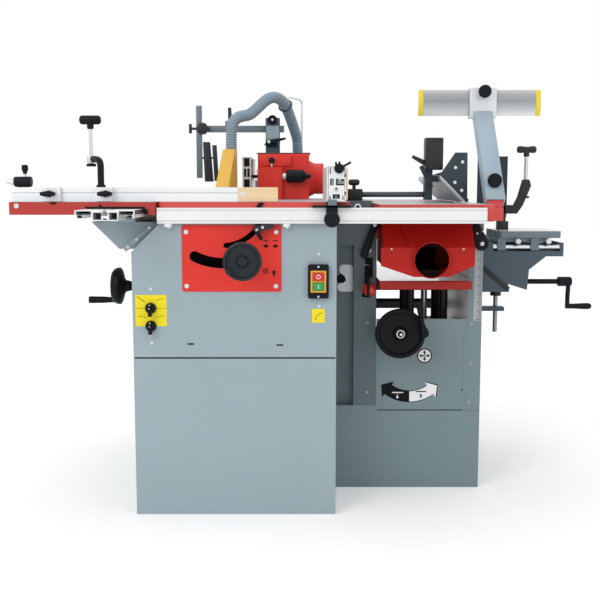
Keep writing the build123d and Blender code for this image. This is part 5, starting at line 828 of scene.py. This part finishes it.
makePiece("holdDownPost", darkEnamel, [
    *panels((postFront, postBack), (left, right, postLow, slotLow), (left, right, slotHigh, postTop)),
    *panels((postFront, armFront - run), (left, right, slotLow - 2, slotHigh + 2)),
    *panels((armBack + run, postBack), (left, right, slotLow - 2, slotHigh + 2)),
], bevel=2, replaced="hood_fittings")
makePiece("postPlate", armEnamel, panels((postFront - 3, postFront), (left + 2, right - 2, 1038, 1087)), bevel=1)
grip = {"x": -86, "y": 101, "z": 922.5}
gx, gy, gz = grip.values()
knobZ = postTop - 8
makePiece("hoodKnobs", blackPlastic, [
    lathe((px, postFront - 8, knobZ), toFront, knobProfile(15, 16)),
    prism(moved(px, latchZ, [(-28, -12), (44, 8), (42, 14), (-18, 6)]), (postFront - 18, postFront - 8)),
    *panels((postFront - 8, postFront), (px - 20, px + 16, latchZ - 16, latchZ - 4)),
    lathe((gx, gy, gz), toRight, [
        (0, 0), (17, 0.5), (19.5, 4), (20.5, 14), (20.5, 46), (19, 54), (14, 61), (9, 65), (7, 68), (7, 78),
        (0, 80)]),
    tube((-201, 132, 922), (-175, 132, 922), 5),
    lathe((px, 109, 972), toFront, knobProfile(9.5, 13)),
], bevel=0.6)
makePiece("hoodSteel", zinc, [
    tube((px, postFront, knobZ), (px, postFront - 10, knobZ), 6),
    lathe((px, postFront - 23, knobZ), toFront, [(0, 0), (4, 0), (4, 1.5), (0, 1.5)]),
    tube((gx + 10, gy, gz), (gx + 10, 125, gz), 9),
    tube((gx - 10, gy, gz), (gx + 1, gy, gz), 10),
    tube((px, 126, 972), (px, 106, 972), 4),
    tube((px, 103, 966), (px, 103, 951), 2.4),
    tube((px - 12, postFront, latchZ), (px - 12, postFront - 19, latchZ), 5),
], bevel=0.4)
wire = {"radius": 3, "x": -36, "y": 339, "low": 994, "top": 1181, "run": 0.3}
radius, wx, wy, wireLow, wireTop, run = wire.values()
ringFrom, ringTo = (Vector(hose["route"][k]) / mm for k in (hose["ring"] - 1, hose["ring"]))
ringAxis = (ringTo - ringFrom).normalized()
ringMiddle = (ringFrom + ringTo) / 2
ringUp = (Vector((0, 0, 1)) - ringAxis * ringAxis.z).normalized()
ringSide = ringAxis.cross(ringUp)
ringSize = hose["radius"] / mm + radius + run
top = ringMiddle + ringUp * ringSize
turns = [2 * math.pi * k / 40 for k in range(41)]
loop = [ringMiddle + (ringUp * math.cos(t) + ringSide * math.sin(t)) * ringSize for t in turns]
stand = [
    (wx, wy, wireLow), (wx, wy, wireTop - 40), (wx, wy, wireTop - 12), (wx - 5, wy - 7, wireTop - 2),
    (wx - 16, wy - 22, wireTop), (top.x + 14, top.y + 24, wireTop - 1), (top.x + 5, top.y + 9, top.z + 8), top,
]
hoseStand = makePiece("hoseStand", zinc, [sweep(smoothPath(stand), radius, 12)], None)
hoseRing = makePiece("hoseRing", darkSteel, [sweep(loop, radius, 12)], None)
for springy in (hoseStand, hoseRing):  # fixed in place on no body; the real spring wire gives as the hose leans over with the saw
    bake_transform(springy)
hoodFace = corners("spindle_hood")[0][1]
makePiece("hoodTop", darkEnamel, panels((127, 343), (-180, -9, 994, 997)), bevel=1)
makePiece("hoodPlate", redEnamel, panels((hoodFace - 2, hoodFace + 0.5), (-169, -71, 955, 990)), bevel=1)
print("spindle unit dressed")

# Black plugs in the ends of the hollow fences, painted shade that keeps the open cells dark, and pale webs
hollow = {"left": -222, "right": -200, "low": 850, "cell": 33.25, "wall": 2.6}
shadePlugs, webs = [], [box((-212.5, 118.5, 916.5), (-209.5, 123.5, 949.8))]
for front, side in ((118, 1), (400, -1)):
    shadePlugDepth, webDepth = (sorted((front + side * a, front + side * b)) for a, b in ((3, 7), (5, 9)))
    for k in range(4):
        low = hollow["low"] + hollow["cell"] * k + hollow["wall"]
        high = hollow["low"] + hollow["cell"] * (k + 1) - hollow["wall"]
        left, right = hollow["left"] + 1.1, hollow["right"] - 1.1
        shadePlugs += panels(shadePlugDepth, (left + 1.5, right - 1.5, low + 1.4, high - 1.4))
        webs += panels(webDepth, (left, right, low, high))
makePiece("fencePlugs", blackPlastic, shadePlugs)
makePiece("fenceWeb", fenceAlu, webs)

# Rip fence: end plug, beech facing, carrier with its knob and cam lever
rip = {"knob": (40, 806), "line": -428, "top": (59, 936)}
(kx, kz), front, (camX, camZ) = rip.values()
ripLow, ripHigh = corners("rip_fence")
facing = (ripHigh[0] + 0.1, ripHigh[0] + 5, 856, ripHigh[2] - 6)
makePiece("ripFacing", beechWood, panels((ripLow[1] + 4, ripHigh[1] - 4), facing), "rip", 0.8)
makePiece("ripCarrier", blackPlastic, [
    lathe((kx, front - 20, kz), toFront, [
        (0, 0), (14, 0), (16, 4), (19, 7), (20.5, 11), (20.5, 17), (19, 20.5), (16, 22), (13, 21), (0, 20)]),
    *panels((front - 12, -406.3), (-10, 90, 835.3, 841.5)),
    *panels((front - 12, -424.3), (kx - 14, kx + 16, 796, 850.2)),
    tube((kx, front - 21, kz), (kx, front - 12, kz), 8),
    lathe((camX, front + 20, camZ), toFront, [
        (0, 0), (9, 0), (9, 20), (12.5, 23), (13, 28), (12, 33), (8, 36), (0, 36)]),
    *panels((front - 12, front - 4), (camX - 11, camX - 6, 944, 953), (camX - 2, camX + 3, 944, 954)),
    tube((camX + 8, front - 10, 940), (89, front - 10, 952), 3),
], "rip", 1, "rip_carrier")
makePiece("ripBlock", slateEnamel, panels((front - 13, front - 0.5), (kx - 10, kx + 13, 841, 856)), "rip", 1.2)
# Painted shade: the fence's end is a flat plate with its hollows drawn on, black where deep in shade and grey
# where less so
ripEnd = {
    "plate": (-427.3, -424), "cells": (-427.6, -427.2), "hollows": (-427.7, -427.2),
    "dark": [
        (35, 37.5, 922, 939), (36, 46, 909, 913), (36, 39, 893, 909), (51, 55, 893, 913), (55, 72, 893, 896.5),
        (64, 72, 904, 909), (43, 61, 859, 870), (34.5, 37, 856, 866), (68, 70.5, 856, 866),
    ],
    "grey": [(39, 46, 893, 909), (55, 72, 896.5, 904), (55, 62, 904, 913), (48, 56, 862, 866)],
}
endEdges = (ripLow[0] + 4, ripHigh[0] - 4, ripLow[2] + 2, ripHigh[2] - 2)
endPlates = panels(ripEnd["plate"], endEdges) + panels((ripHigh[1] - 8, ripHigh[1] - 4), endEdges)
makePiece("ripEnd", aluAlongY, endPlates, "rip")
dart = prism([(47, 878), (57, 878), (57, 883), (52, 888), (47, 883)], ripEnd["cells"])
makePiece("ripCells", blackVinyl, panels(ripEnd["cells"], *ripEnd["dark"]) + [dart], "rip")
makePiece("ripHollows", halfShadeVinyl, panels(ripEnd["hollows"], *ripEnd["grey"]), "rip")
clip = prism([(-157, 836), (-143, 836), (-136, 848), (-150, 848)], (-411, -405.5))
makePiece("tableClip", blackPlastic, [clip], bevel=0.6)
print("rip fence dressed")


# Levers of the planer and thicknesser
def capsuleOutline(a, b, startRadius, endRadius, steps=12):
    angle = math.degrees(math.atan2(b[1] - a[1], b[0] - a[0]))
    return circle(a, startRadius, steps, angle + 90, 180) + circle(b, endRadius, steps, angle - 90, 180)


for node, joint, body, reach, ends in (
    ("table_lever", "table_lever_turn", "infeed_lever", (-30, -86), (9, 11)),
    ("table_lock_lever", "lock_lever_turn", "lock_lever", (-16, 46), (20, 12)),
):
    (_, face, _), (_, back, _) = corners(node)
    x, _, z = pivots[joint]
    makePiece(node + ".grip", blackPlastic, [
        prism(capsuleOutline((x, z), (x + reach[0], z + reach[1]), *ends), (face, face + 12)),
        tube((x, face + 6, z), (x, back, z), 5.9),
    ], body, 2, node)
    bolt = lathe((x, face + 0.5, z), toFront, [(0, 0), (6, 0), (6, 3), (4.5, 4), (0, 4)])
    makePiece(node + ".bolt", zinc, [bolt], body)
setScrews("lockDots", (2.5, 1), face, [(x - 14, z + 29), (x + 2, z + 35)], whiteVinyl, "lock_lever")
feed = {"x": 152, "low": 571, "high": 662, "face": -172}
x, slotLow, slotHigh, face = feed.values()
bends = [
    (4, slotHigh - 12), (30, slotHigh - 16), (58, slotHigh - 28), (65, slotHigh - 44), (65, slotLow + 30),
    (65, slotLow + 6),
]
makePiece("feedLever", blackPlastic, [
    sweep(smoothPath([(x, face - out, z) for out, z in bends]), 4.5),
    *panels((face - 14, face - 0.3), (x - 4, x + 4, slotLow + 14, slotHigh - 4)),
    tube((x, face - 14, slotHigh - 16), (x, face + 14, slotHigh - 16), 5.9),
], "feed_selector", 0.8, "feed_lever")
makePiece("feedBall", redPlastic, [ball((x + 3, face - 48, slotLow + 27), 19.8)], "feed_selector")
lockBolt = {"x": -154.5, "z": 777}
x, z = lockBolt.values()
face = corners("saw_trunnion")[0][1]
setScrews("lockBolts", (4, 3), face, [(x, z), (x + 15, z + 7)], body="saw_unit")
wing = prism(moved(x, z, [(-6, -5), (4, 0), (16, -21), (13, -27), (7, -25)]), (face - 7, face + 4))
makePiece("lockWing", blackPlastic, [wing], "saw_unit", 1)
print("levers made")

# Bridge guard: a bowed plate with yellow ends on a leaning arm
bridge = {"cap": 15, "skin": 4, "steps": 14}
(bridgeLeft, bridgeY, bridgeZ), (bridgeRight, bridgeBack, bridgeTop) = corners("bridge_guard")
cap, skin, steps = bridge.values()
outer, inner = [], []
for t in (k / steps for k in range(steps + 1)):
    bow = (bridgeBack - bridgeY - skin) * 4 * t * (1 - t)
    outer.append((bridgeBack - skin - bow, bridgeZ + (bridgeTop - bridgeZ) * t))
    inner.append((bridgeBack - bow, bridgeZ + (bridgeTop - bridgeZ) * t))
bowed = outer + inner[::-1]
capLeft, capRight = bridgeLeft + cap, bridgeRight - cap
makePiece("bridgePlate", bridgeAlu, [prism(bowed, (capLeft, capRight), "x")], "bridge", replaced="bridge_guard")
bridgeEnds = [prism(bowed, span, "x") for span in ((bridgeLeft, capLeft), (capRight, bridgeRight))]
makePiece("bridgeEnds", lemonPlastic, bridgeEnds, "bridge", 1)
arm = {
    "lean": 39, "length": 318, "half": 17, "wall": 4, "end": 14, "span": (475, 529),
    "clip": (462, 542),
}
armX, pivotY, pivotZ = pivots["guard_tilt"]
lean, half, wall, (armLeft, armRight) = math.radians(arm["lean"]), arm["half"], arm["wall"], arm["span"]


def onArm(out, across):
    return (
        pivotY + out * math.sin(lean) + across * math.cos(lean),
        pivotZ + out * math.cos(lean) - across * math.sin(lean),
    )


reach, hollow, end, skin = arm["length"] - 24, arm["length"] - 40, -arm["end"], wall - half
inner = (armLeft + wall - 0.5, armRight - wall + 0.5)
head = [
    onArm(reach, -half), *moved(bridgeY, bridgeZ, [(-13, 12), (-8, 12), (-8, -8), (14, -8)]), onArm(reach, half),
]
side = [onArm(end, -half), *head, onArm(end, half)]
makePiece("guardArm", armEnamel, [
    prism(side, (armLeft, armLeft + wall), "x"),
    prism(side, (armRight - wall, armRight), "x"),
    prism([onArm(end, -half), onArm(reach, -half), onArm(reach, skin), onArm(end, skin)], inner, "x"),
    prism([onArm(hollow, 1 - half), *head, onArm(hollow, half)], inner, "x"),
], "guard_swing", 0.8, "guard_arm")
clipFront, clipBack, clipLow, clipTop, run = bridgeY - 9, bridgeBack + 6, bridgeZ - 9, bridgeTop + 5, 0.3
makePiece("guardClip", aluAlongZ, [
    *panels((clipFront, bridgeY - run), (*arm["clip"], clipLow, clipTop)),
    *panels((bridgeBack + run, clipBack), (*arm["clip"], clipLow, clipTop)),
    *panels((clipFront + 2, clipBack - 2), (*arm["clip"], clipLow, bridgeZ - run)),
    *panels((clipFront + 2, clipBack - 2), (*arm["clip"], bridgeTop + run, clipTop)),
], "guard_swing", 1.5)
topZ = bridgeTop - 8
lowY, lowZ = onArm(52, -half)
makePiece("guardKnobs", blackPlastic, [
    tube((armX, clipFront, topZ), (armX, clipFront - 13, topZ), 6),
    lathe((armX, clipFront - 12, topZ), toFront, knobProfile(19, 18, 0.7)),
    tube((armX, lowY + 2, lowZ), (armX, lowY - 11, lowZ), 5),
    lathe((armX, lowY - 10, lowZ), toFront, knobProfile(20, 14, 0.7)),
], "guard_swing")
print("bridge guard made")

# Planer fence: leaning aluminium face, dark side plates, bracket, rod and lever
pfence = {
    "foot": (437, 847), "head": (361, 923), "skin": 11.31, "span": (-158, 330), "rod": (-100, 867),
}
foot, head, skin, span, (rodY, rodZ) = pfence.values()
face = prism([foot, head, (head[0], head[1] - skin), (foot[0] - skin, foot[1])], span)
makePiece("fenceFace", guardAlu, [face], "fence_slide", 0.8, "planer_fence")
makePiece("fenceSides", gussetEnamel, [
    prism([foot, (441, 850), (439, 987), (404, 987), head], (span[0], span[0] + 8)),
    prism([foot, (441, 850), (439, 937), (404, 937), head], (52, 60)),
    *panels((rodY - 20, rodY + 20), (323, 345, rodZ - 16, 1030)),
    *panels((rodY - 16, rodY + 16), (343, 365, head[1] - skin - 8, head[1] - 2)),
], "fence_slide", 1.2)
makePiece("fenceBox", blackEnamel, [
    *panels((rodY - 40, rodY), (321, 372, 938, 1030)),
    prism([(324, 948), (283, 973), (286, 981), (331, 962)], (rodY - 26, rodY - 14)),
    prism([(302, 946), (312, 952), (344, 890), (334, 884)], (rodY - 52, rodY - 40)),
], "fence_slide", 1.5)
makePiece("fenceRod", darkSteel, [tube((103, rodY, rodZ), (325, rodY, rodZ), 8)], "fence_slide", 0.8)
run = 9.1
makePiece("rodBlock", blackEnamel, [
    *panels((rodY - 22, rodY - run), (93, 141, 849.5, 883)),
    *panels((rodY + run, rodY + 22), (93, 141, 849.5, 883)),
    *panels((rodY - 20, rodY + 20), (93, 141, 849.5, rodZ - run), (93, 141, rodZ + run, 883)),
    tube((117, rodY, 882), (117, rodY, 901), 5),
    lathe((100.5, rodY, 902.5), toRight, capsule(9, 33)),
], bevel=1.2, replaced="fence_rod_block")
gussetBolts = [(425, 960), (405, 944), (404, 902), (424, 879)]
setScrews("gussetScrews", (4.5, 2), span[0], gussetBolts, whiteVinyl, "fence_slide")
print("planer fence made")

# Mortiser: clamp with its bent arm, crank and saddle knobs
mClamp = {"x": 591, "y": 60, "table": 757, "arm": 833, "foot": 860, "handle": 1004}
cx, cy, tableZ, armZ, footZ, handleZ = mClamp.values()
pressX = cx + 70
bentArm = [(-9, -27), (44, -27), (62, 0), (86, 60), (80, 79), (60, 79), (46, 26), (34, 0), (-9, 0)]
makePiece("mortiserArm", blackEnamel, [
    *panels((cy - 18, cy + 18), (cx - 16, cx + 16, tableZ, tableZ + 26)),
    *panels((cy - 9, cy + 9), (cx - 9, cx + 9, tableZ + 20, armZ - 2)),
    prism(moved(cx, armZ, bentArm), (cy - 9, cy + 9)),
    lathe((pressX - 30, cy, handleZ), toRight, [
        (0, 0), (7, 0.5), (10.5, 4), (11, 14), (9, 24), (9, 36), (11, 46), (10.5, 56), (7, 59.5), (0, 60)]),
    lathe((pressX, cy, handleZ - 22), toTop, [(0, 0), (8, 0), (9, 4), (8, 22), (0, 22)]),
    lathe((pressX, cy, footZ - 6), toTop, [(0, 0), (12, 0), (13, 2), (13, 5), (8, 7), (0, 7)]),
], "mortiser_top", 1.5, "mortiser_clamp")
makePiece("mortiserPress", brightSteel, [tube((pressX, cy, footZ), (pressX, cy, handleZ - 18), 6)], "mortiser_top")
crank = {"y": 40, "z": 595, "inner": 602, "end": 792, "arm": 12, "drop": 78, "grip": 60}
cy, cz, inner, ce, crankArm, drop, gripLong = crank.values()
hz = cz - drop
bends = [(6, cz), (7, cz - 20), (6, cz - 42), (6, cz - 62), (7, hz)]
makePiece("mortiserCrank", blackPlastic, [
    tube((inner, cy, cz), (ce, cy, cz), 8),
    lathe((ce - 27, cy, cz), toRight, [(0, 0), (13, 0), (15, 2), (15, 39), (12, 43), (0, 43)]),
    sweep(smoothPath([(ce + out, cy, z) for out, z in bends]), 7),
    lathe((ce, cy, hz), toRight, [(0, 0), (7, 0), (8, 2), (8, 24), (0, 24)]),
    lathe((ce + crankArm + 9, cy, hz), toRight, [
        (0, 0), (7, 0.4), (8, 3), (9, 22), (10, 44), (9.5, 54), (6, 59.5), (0, gripLong)]),
], "crank", replaced="mortiser_crank")
saddleKnob = {"face": -64, "z": 727, "spots": (612, 703)}
face, z, spots = saddleKnob.values()
knob = [(0, 0), (7.4, 0), (8.5, 2), (8.5, 10), (7.4, 12.4), (0, 12.6)]
makePiece("saddleKnobs", whitePlastic, [lathe((x, face, z), toFront, knob) for x in spots], "saddle")
rib = prism([(506, 642), (516, 652), (594, 586), (584, 576)], (-63, -59.5))
makePiece("kneeRib", blackEnamel, [rib], "mortiser_lift", 0.6)
print("mortiser dressed")

# Screws, marks and small plates on the fronts of the two cabinets
tiltFace, planerFace, consoleFace = (corners(n)[0][1] for n in ("tilt_plate", "planer_plinth", "slide_console"))
consoleEdge, portFace = consoleFace - 3, -300
frontScrews = {
    "panelScrews": ((4.5, 2.5), panelFace, [(-438, 620), (8, 713), (9, 574), (-438, 475)]),
    "plateScrews": ((6, 2.2), tiltFace, [(-342, 771), (-105, 771), (-342, 628), (-106, 628)]),
    "planerScrews": (
        (4.5, 2.5), planerFace, [(457, 493), (457, 376), (455, 258), (154, 496), (155, 289)], scaleSteel),
    "hoodScrews": ((2.8, 1.5), portFace, [(210, 719.5), (408, 719.5)]),
    "consoleScrews": ((4.5, 2.5), consoleEdge, [(-449, 779), (-484, 748), (-508, 727)]),
    "columnBolt": ((7.5, 5), planerFace, [(158, 707)]),
}
for name, facts in frontScrews.items():
    setScrews(name, *facts)
# Painted shade: the slots in the front panel are black marks on its face, for the shade inside them
slots = [(-334, panelFace, 472), (-96, panelFace, 469)]
repeatPiece("panelSlots", blackVinyl, [box((-9, -0.4, -2), (9, 0.1, 2))], slots)
railFoot = lathe((0, -2, -4), (0, 0, -1), [(0, -6), (5, -6), (5, 2), (3, 4), (0, 4)])
brackets = [(-385, -413, 788), (-76, -413, 788)]
repeatPiece("railBrackets", zinc, [box((-9, -3, -2), (9, 9, 8)), railFoot], brackets)
strip = prism([(-428, 788), (-440, 794), (-524, 724), (-514, 714)], (consoleEdge, consoleFace + 0.2))
makePiece("consoleStrip", cabinetEnamel, [strip], bevel=0.6)
print("screws set")

tiltInk = (tiltFace - 0.4, tiltFace + 0.1)
tiltMarks = [
    prism(arrowMark(-111, 663, 16, 90), tiltInk),
    lathe((-133, tiltFace + 0.1, 668), toFront, [(5, 0), (5, 0.5), (7, 0.5), (7, 0)], 28),
    prism(arrowMark(-133, 668, 7, 90), tiltInk),
]
for x in (-132, -107):
    tiltMarks += panels(tiltInk, (x - 6, x + 6, 747, 749.4))
    tiltMarks.append(prism(moved(x, 734, [(-8, 0), (0, -5), (8, 0), (0, 5)]), tiltInk))
makePiece("tiltMarks", blackVinyl, tiltMarks)

# Dial and double arrow on the planer's front, printed in layers
dial = {"x": 323, "z": 398, "radius": 22, "face": 18.5, "arrow": 9}
sweepMark = {
    "x": 280, "z": 380.5, "outer": 119.5, "inner": 88.5, "middle": 270, "half": 36, "tip": 12.6,
    "barb": 12,
}
under, pale, over = ((planerFace - 0.4 * k, planerFace + 0.1) for k in (1, 2, 3))
dx, dz, radius, dialFace, out = dial.values()
quarters = [math.pi / 2 * k for k in range(4)]
ways = [(dx + out * math.cos(t), dz + out * math.sin(t), 13, math.degrees(t)) for t in quarters]
makePiece("dialDark", blackVinyl, [
    prism(circle((dx, dz), radius, 48), under),
    *(prism(arcArrow(sweepMark, side, 2.2), under) for side in (1, -1)),
    *(prism(arrowMark(*way), over) for way in ways),
    *panels(over, (299, 330, 289.5, 292.5)),
    prism(arrowMark(314, 278, 12, 90), over),
])
makePiece("dialPale", whiteVinyl, [
    prism(circle((dx, dz), dialFace, 48), pale),
    prism(arcArrow(sweepMark, 1), pale),
    *panels(pale, (229, 262, 286.5, 289.5)),
    prism(arrowMark(245, 275, 12, 270), pale),
])

# Plates on the drive column: the slotted one beside it, and the feed lever's stepped slot
recess = {"face": -146, "thick": 1.5}
recessFace, plateFace = recess["face"], recess["face"] - recess["thick"]
slotted = (
    circle((85, 652), 12, 8, 180, -90) + circle((103, 654), 10, 8, 90, -90) + circle((104, 594), 10, 8, 0, -90)
    + circle((80, 597), 13, 12, 270, -200) + [(93, 618), (89, 629), (79, 637), (74, 643)]
)
makePiece("slotPlate", plateEnamel, [prism(slotted, (plateFace, recessFace + 0.2))], bevel=0.4)
setScrews("slotPlateScrews", (3.5, 1.2), plateFace, [(78, 595), (97, 600), (86, 655)])
# Painted shade: the stepped slot and the round hole in the recess are black shapes on the face, for the dark
# inside the column
stepSlot = [
    (146, 686), (169, 686), (169, 628), (156, 628), (156, 638), (146, 638), (146, 658), (156, 658), (161, 664),
    (146, 669),
]
hole = prism(circle((81, 622), 15, 24), (recessFace - 0.5, recessFace + 0.1))
makePiece("stepSlot", blackVinyl, [prism(stepSlot, under), hole])

# Thickness scale: a pale strip with a line every 5 mm, the finest that shows, and a long one every 25 mm
scale = {"left": 463, "right": 487, "low": 501, "high": 729, "pitch": 5, "long": 5, "thick": 0.8}
left, right, low, high, pitch, longEvery, thick = scale.values()
scaleFace = planerFace - thick
makePiece("scaleStrip", scaleSteel, panels((scaleFace, planerFace + 0.1), (left, right, low, high)))
lines = [low + 4 + pitch * k for k in range(int((high - low - 8) / pitch) + 1)]
short = [(right - 6, scaleFace, z) for k, z in enumerate(lines) if k % longEvery]
repeatPiece("scaleShortLines", blackVinyl, [box((-4, -0.25, -0.5), (4, 0.1, 0.5))], short)
long = [(right - 9, scaleFace, z) for z in lines[::longEvery]]
repeatPiece("scaleLongLines", blackVinyl, [box((-7, -0.25, -0.7), (7, 0.1, 0.7))], long)

# Joints between the sheets of the planer's front, the front sheet, tie bars at the back of the lift and the
# funnel of the chip hood
seam = (planerFace - 0.3, planerFace + 0.1)
peg = tube((434, seam[0], 296), (434, seam[1], 296), 3)
joints = [(180.4, 181.4, 237, 468), (435.4, 436.4, 237, 468), (436, 486, 234.2, 235.8)]
makePiece("frontSeams", seamShadow, panels(seam, (186, 436, 233.6, 236.6)) + [peg])
makePiece("frontJoints", seamLine, panels(seam, *joints))
makePiece("frontSheet", shadedPlanerEnamel, panels((planerFace - 0.2, planerFace + 3), (181, 446, 237, 507)))
makePiece("backTie", cabinetEnamel, panels((330, 340), (180, 446, 472, 496)), bevel=1)
makePiece("backRail", blackEnamel, panels((326, 340), (180, 446, 496, 506)), bevel=1)
makePiece("hoodFunnel", deepRedEnamel, [hull([
    (256, -296, 726), (374, -296, 726), (237, -239, 785), (395, -239, 785),
    (258, -304, 730), (372, -304, 730), (237, -242, 787), (395, -242, 787)])])
tableEye = {"x": 109, "y": -409, "z": 837}
x, y, z = tableEye.values()
makePiece("tableEye", zinc, [
    lathe((x, y, z), toFront, [(5, 0), (5, 3), (8.5, 3), (8.5, 0)]), tube((x, y, z), (x, y + 9, z), 6),
])
print("fronts marked")


# 1 for the rays that show a surface to the eye, 0 for those that only carry light to other surfaces
def eyeRays(tree):
    rays = addNode(tree, "ShaderNodeLightPath").outputs
    seen = rays["Is Camera Ray"]
    for kind in ("Is Glossy Ray", "Is Transmission Ray"):
        seen = addNode(tree, "ShaderNodeMath", {0: seen, 1: rays[kind]}, operation="MAXIMUM").outputs[0]
    return seen


# Pale floor, soft studio lamps and a white surround
floorFacts = {"half": 14, "color": "#f7f7f7", "glow": 0.22, "farGlow": 0.38, "near": 1, "far": 3.2}
half, color, glow, farGlow, near, far = floorFacts.values()
floorMesh = bpy.data.meshes.new("floor")
sides = [(-half, -half, 0), (half, -half, 0), (half, half, 0), (-half, half, 0)]
floorMesh.from_pydata(sides, [], [(0, 1, 2, 3)])
floorMaterial = vinyl("paleFloor", color)
floorTree = floorMaterial.node_tree
floorShader = floorTree.nodes["Principled BSDF"]
floorShader.inputs["Roughness"].default_value = 0.9
floorShader.inputs["Emission Color"].default_value = (1, 1, 1, 1)
where = floorTree.nodes["Texture Coordinate"].outputs["Object"]
away = addNode(floorTree, "ShaderNodeVectorMath", {0: where}, operation="LENGTH").outputs["Value"]
fade = {"Value": away, "From Min": near, "From Max": far, "To Min": glow, "To Max": farGlow}
strength = addNode(floorTree, "ShaderNodeMapRange", fade).outputs[0]
shown = addNode(floorTree, "ShaderNodeMath", {0: eyeRays(floorTree), 1: strength}, operation="MULTIPLY")
floorTree.links.new(shown.outputs[0], floorShader.inputs["Emission Strength"])
floorMesh.materials.append(floorMaterial)
floor = addObject("floor", floorMesh)
lampFacts = [
    ("keyLamp", (-2.2, -3.2, 2.6), 2.4, 42),
    ("fillLamp", (2.6, -3.4, 1.6), 2.4, 12),
    ("topLamp", (0, 0.3, 3.6), 2.8, 22),
]
for label, place, size, power in lampFacts:
    lampData = bpy.data.lights.new(label, "AREA")
    lampData.shape, lampData.size, lampData.energy = "DISK", size, power
    turn = (Vector((0, 0, 0.6)) - Vector(place)).to_track_quat("-Z", "Y").to_euler()
    addObject(label, lampData, place, turn)
surround = {"light": 0.72, "seen": 1}
world = bpy.data.worlds.new("studio")
world.use_nodes = True
bpy.context.scene.world = world
worldTree = world.node_tree
worldTree.nodes.clear()
soft, white = (
    addNode(worldTree, "ShaderNodeBackground", {"Color": (1, 1, 1, 1), "Strength": level})
    for level in surround.values()
)
mixed = addNode(worldTree, "ShaderNodeMixShader", {0: eyeRays(worldTree), 1: soft.outputs[0], 2: white.outputs[0]})
addNode(worldTree, "ShaderNodeOutputWorld", {0: mixed.outputs[0]})
bpy.context.scene.view_settings.view_transform = "Standard"
print("stage set")
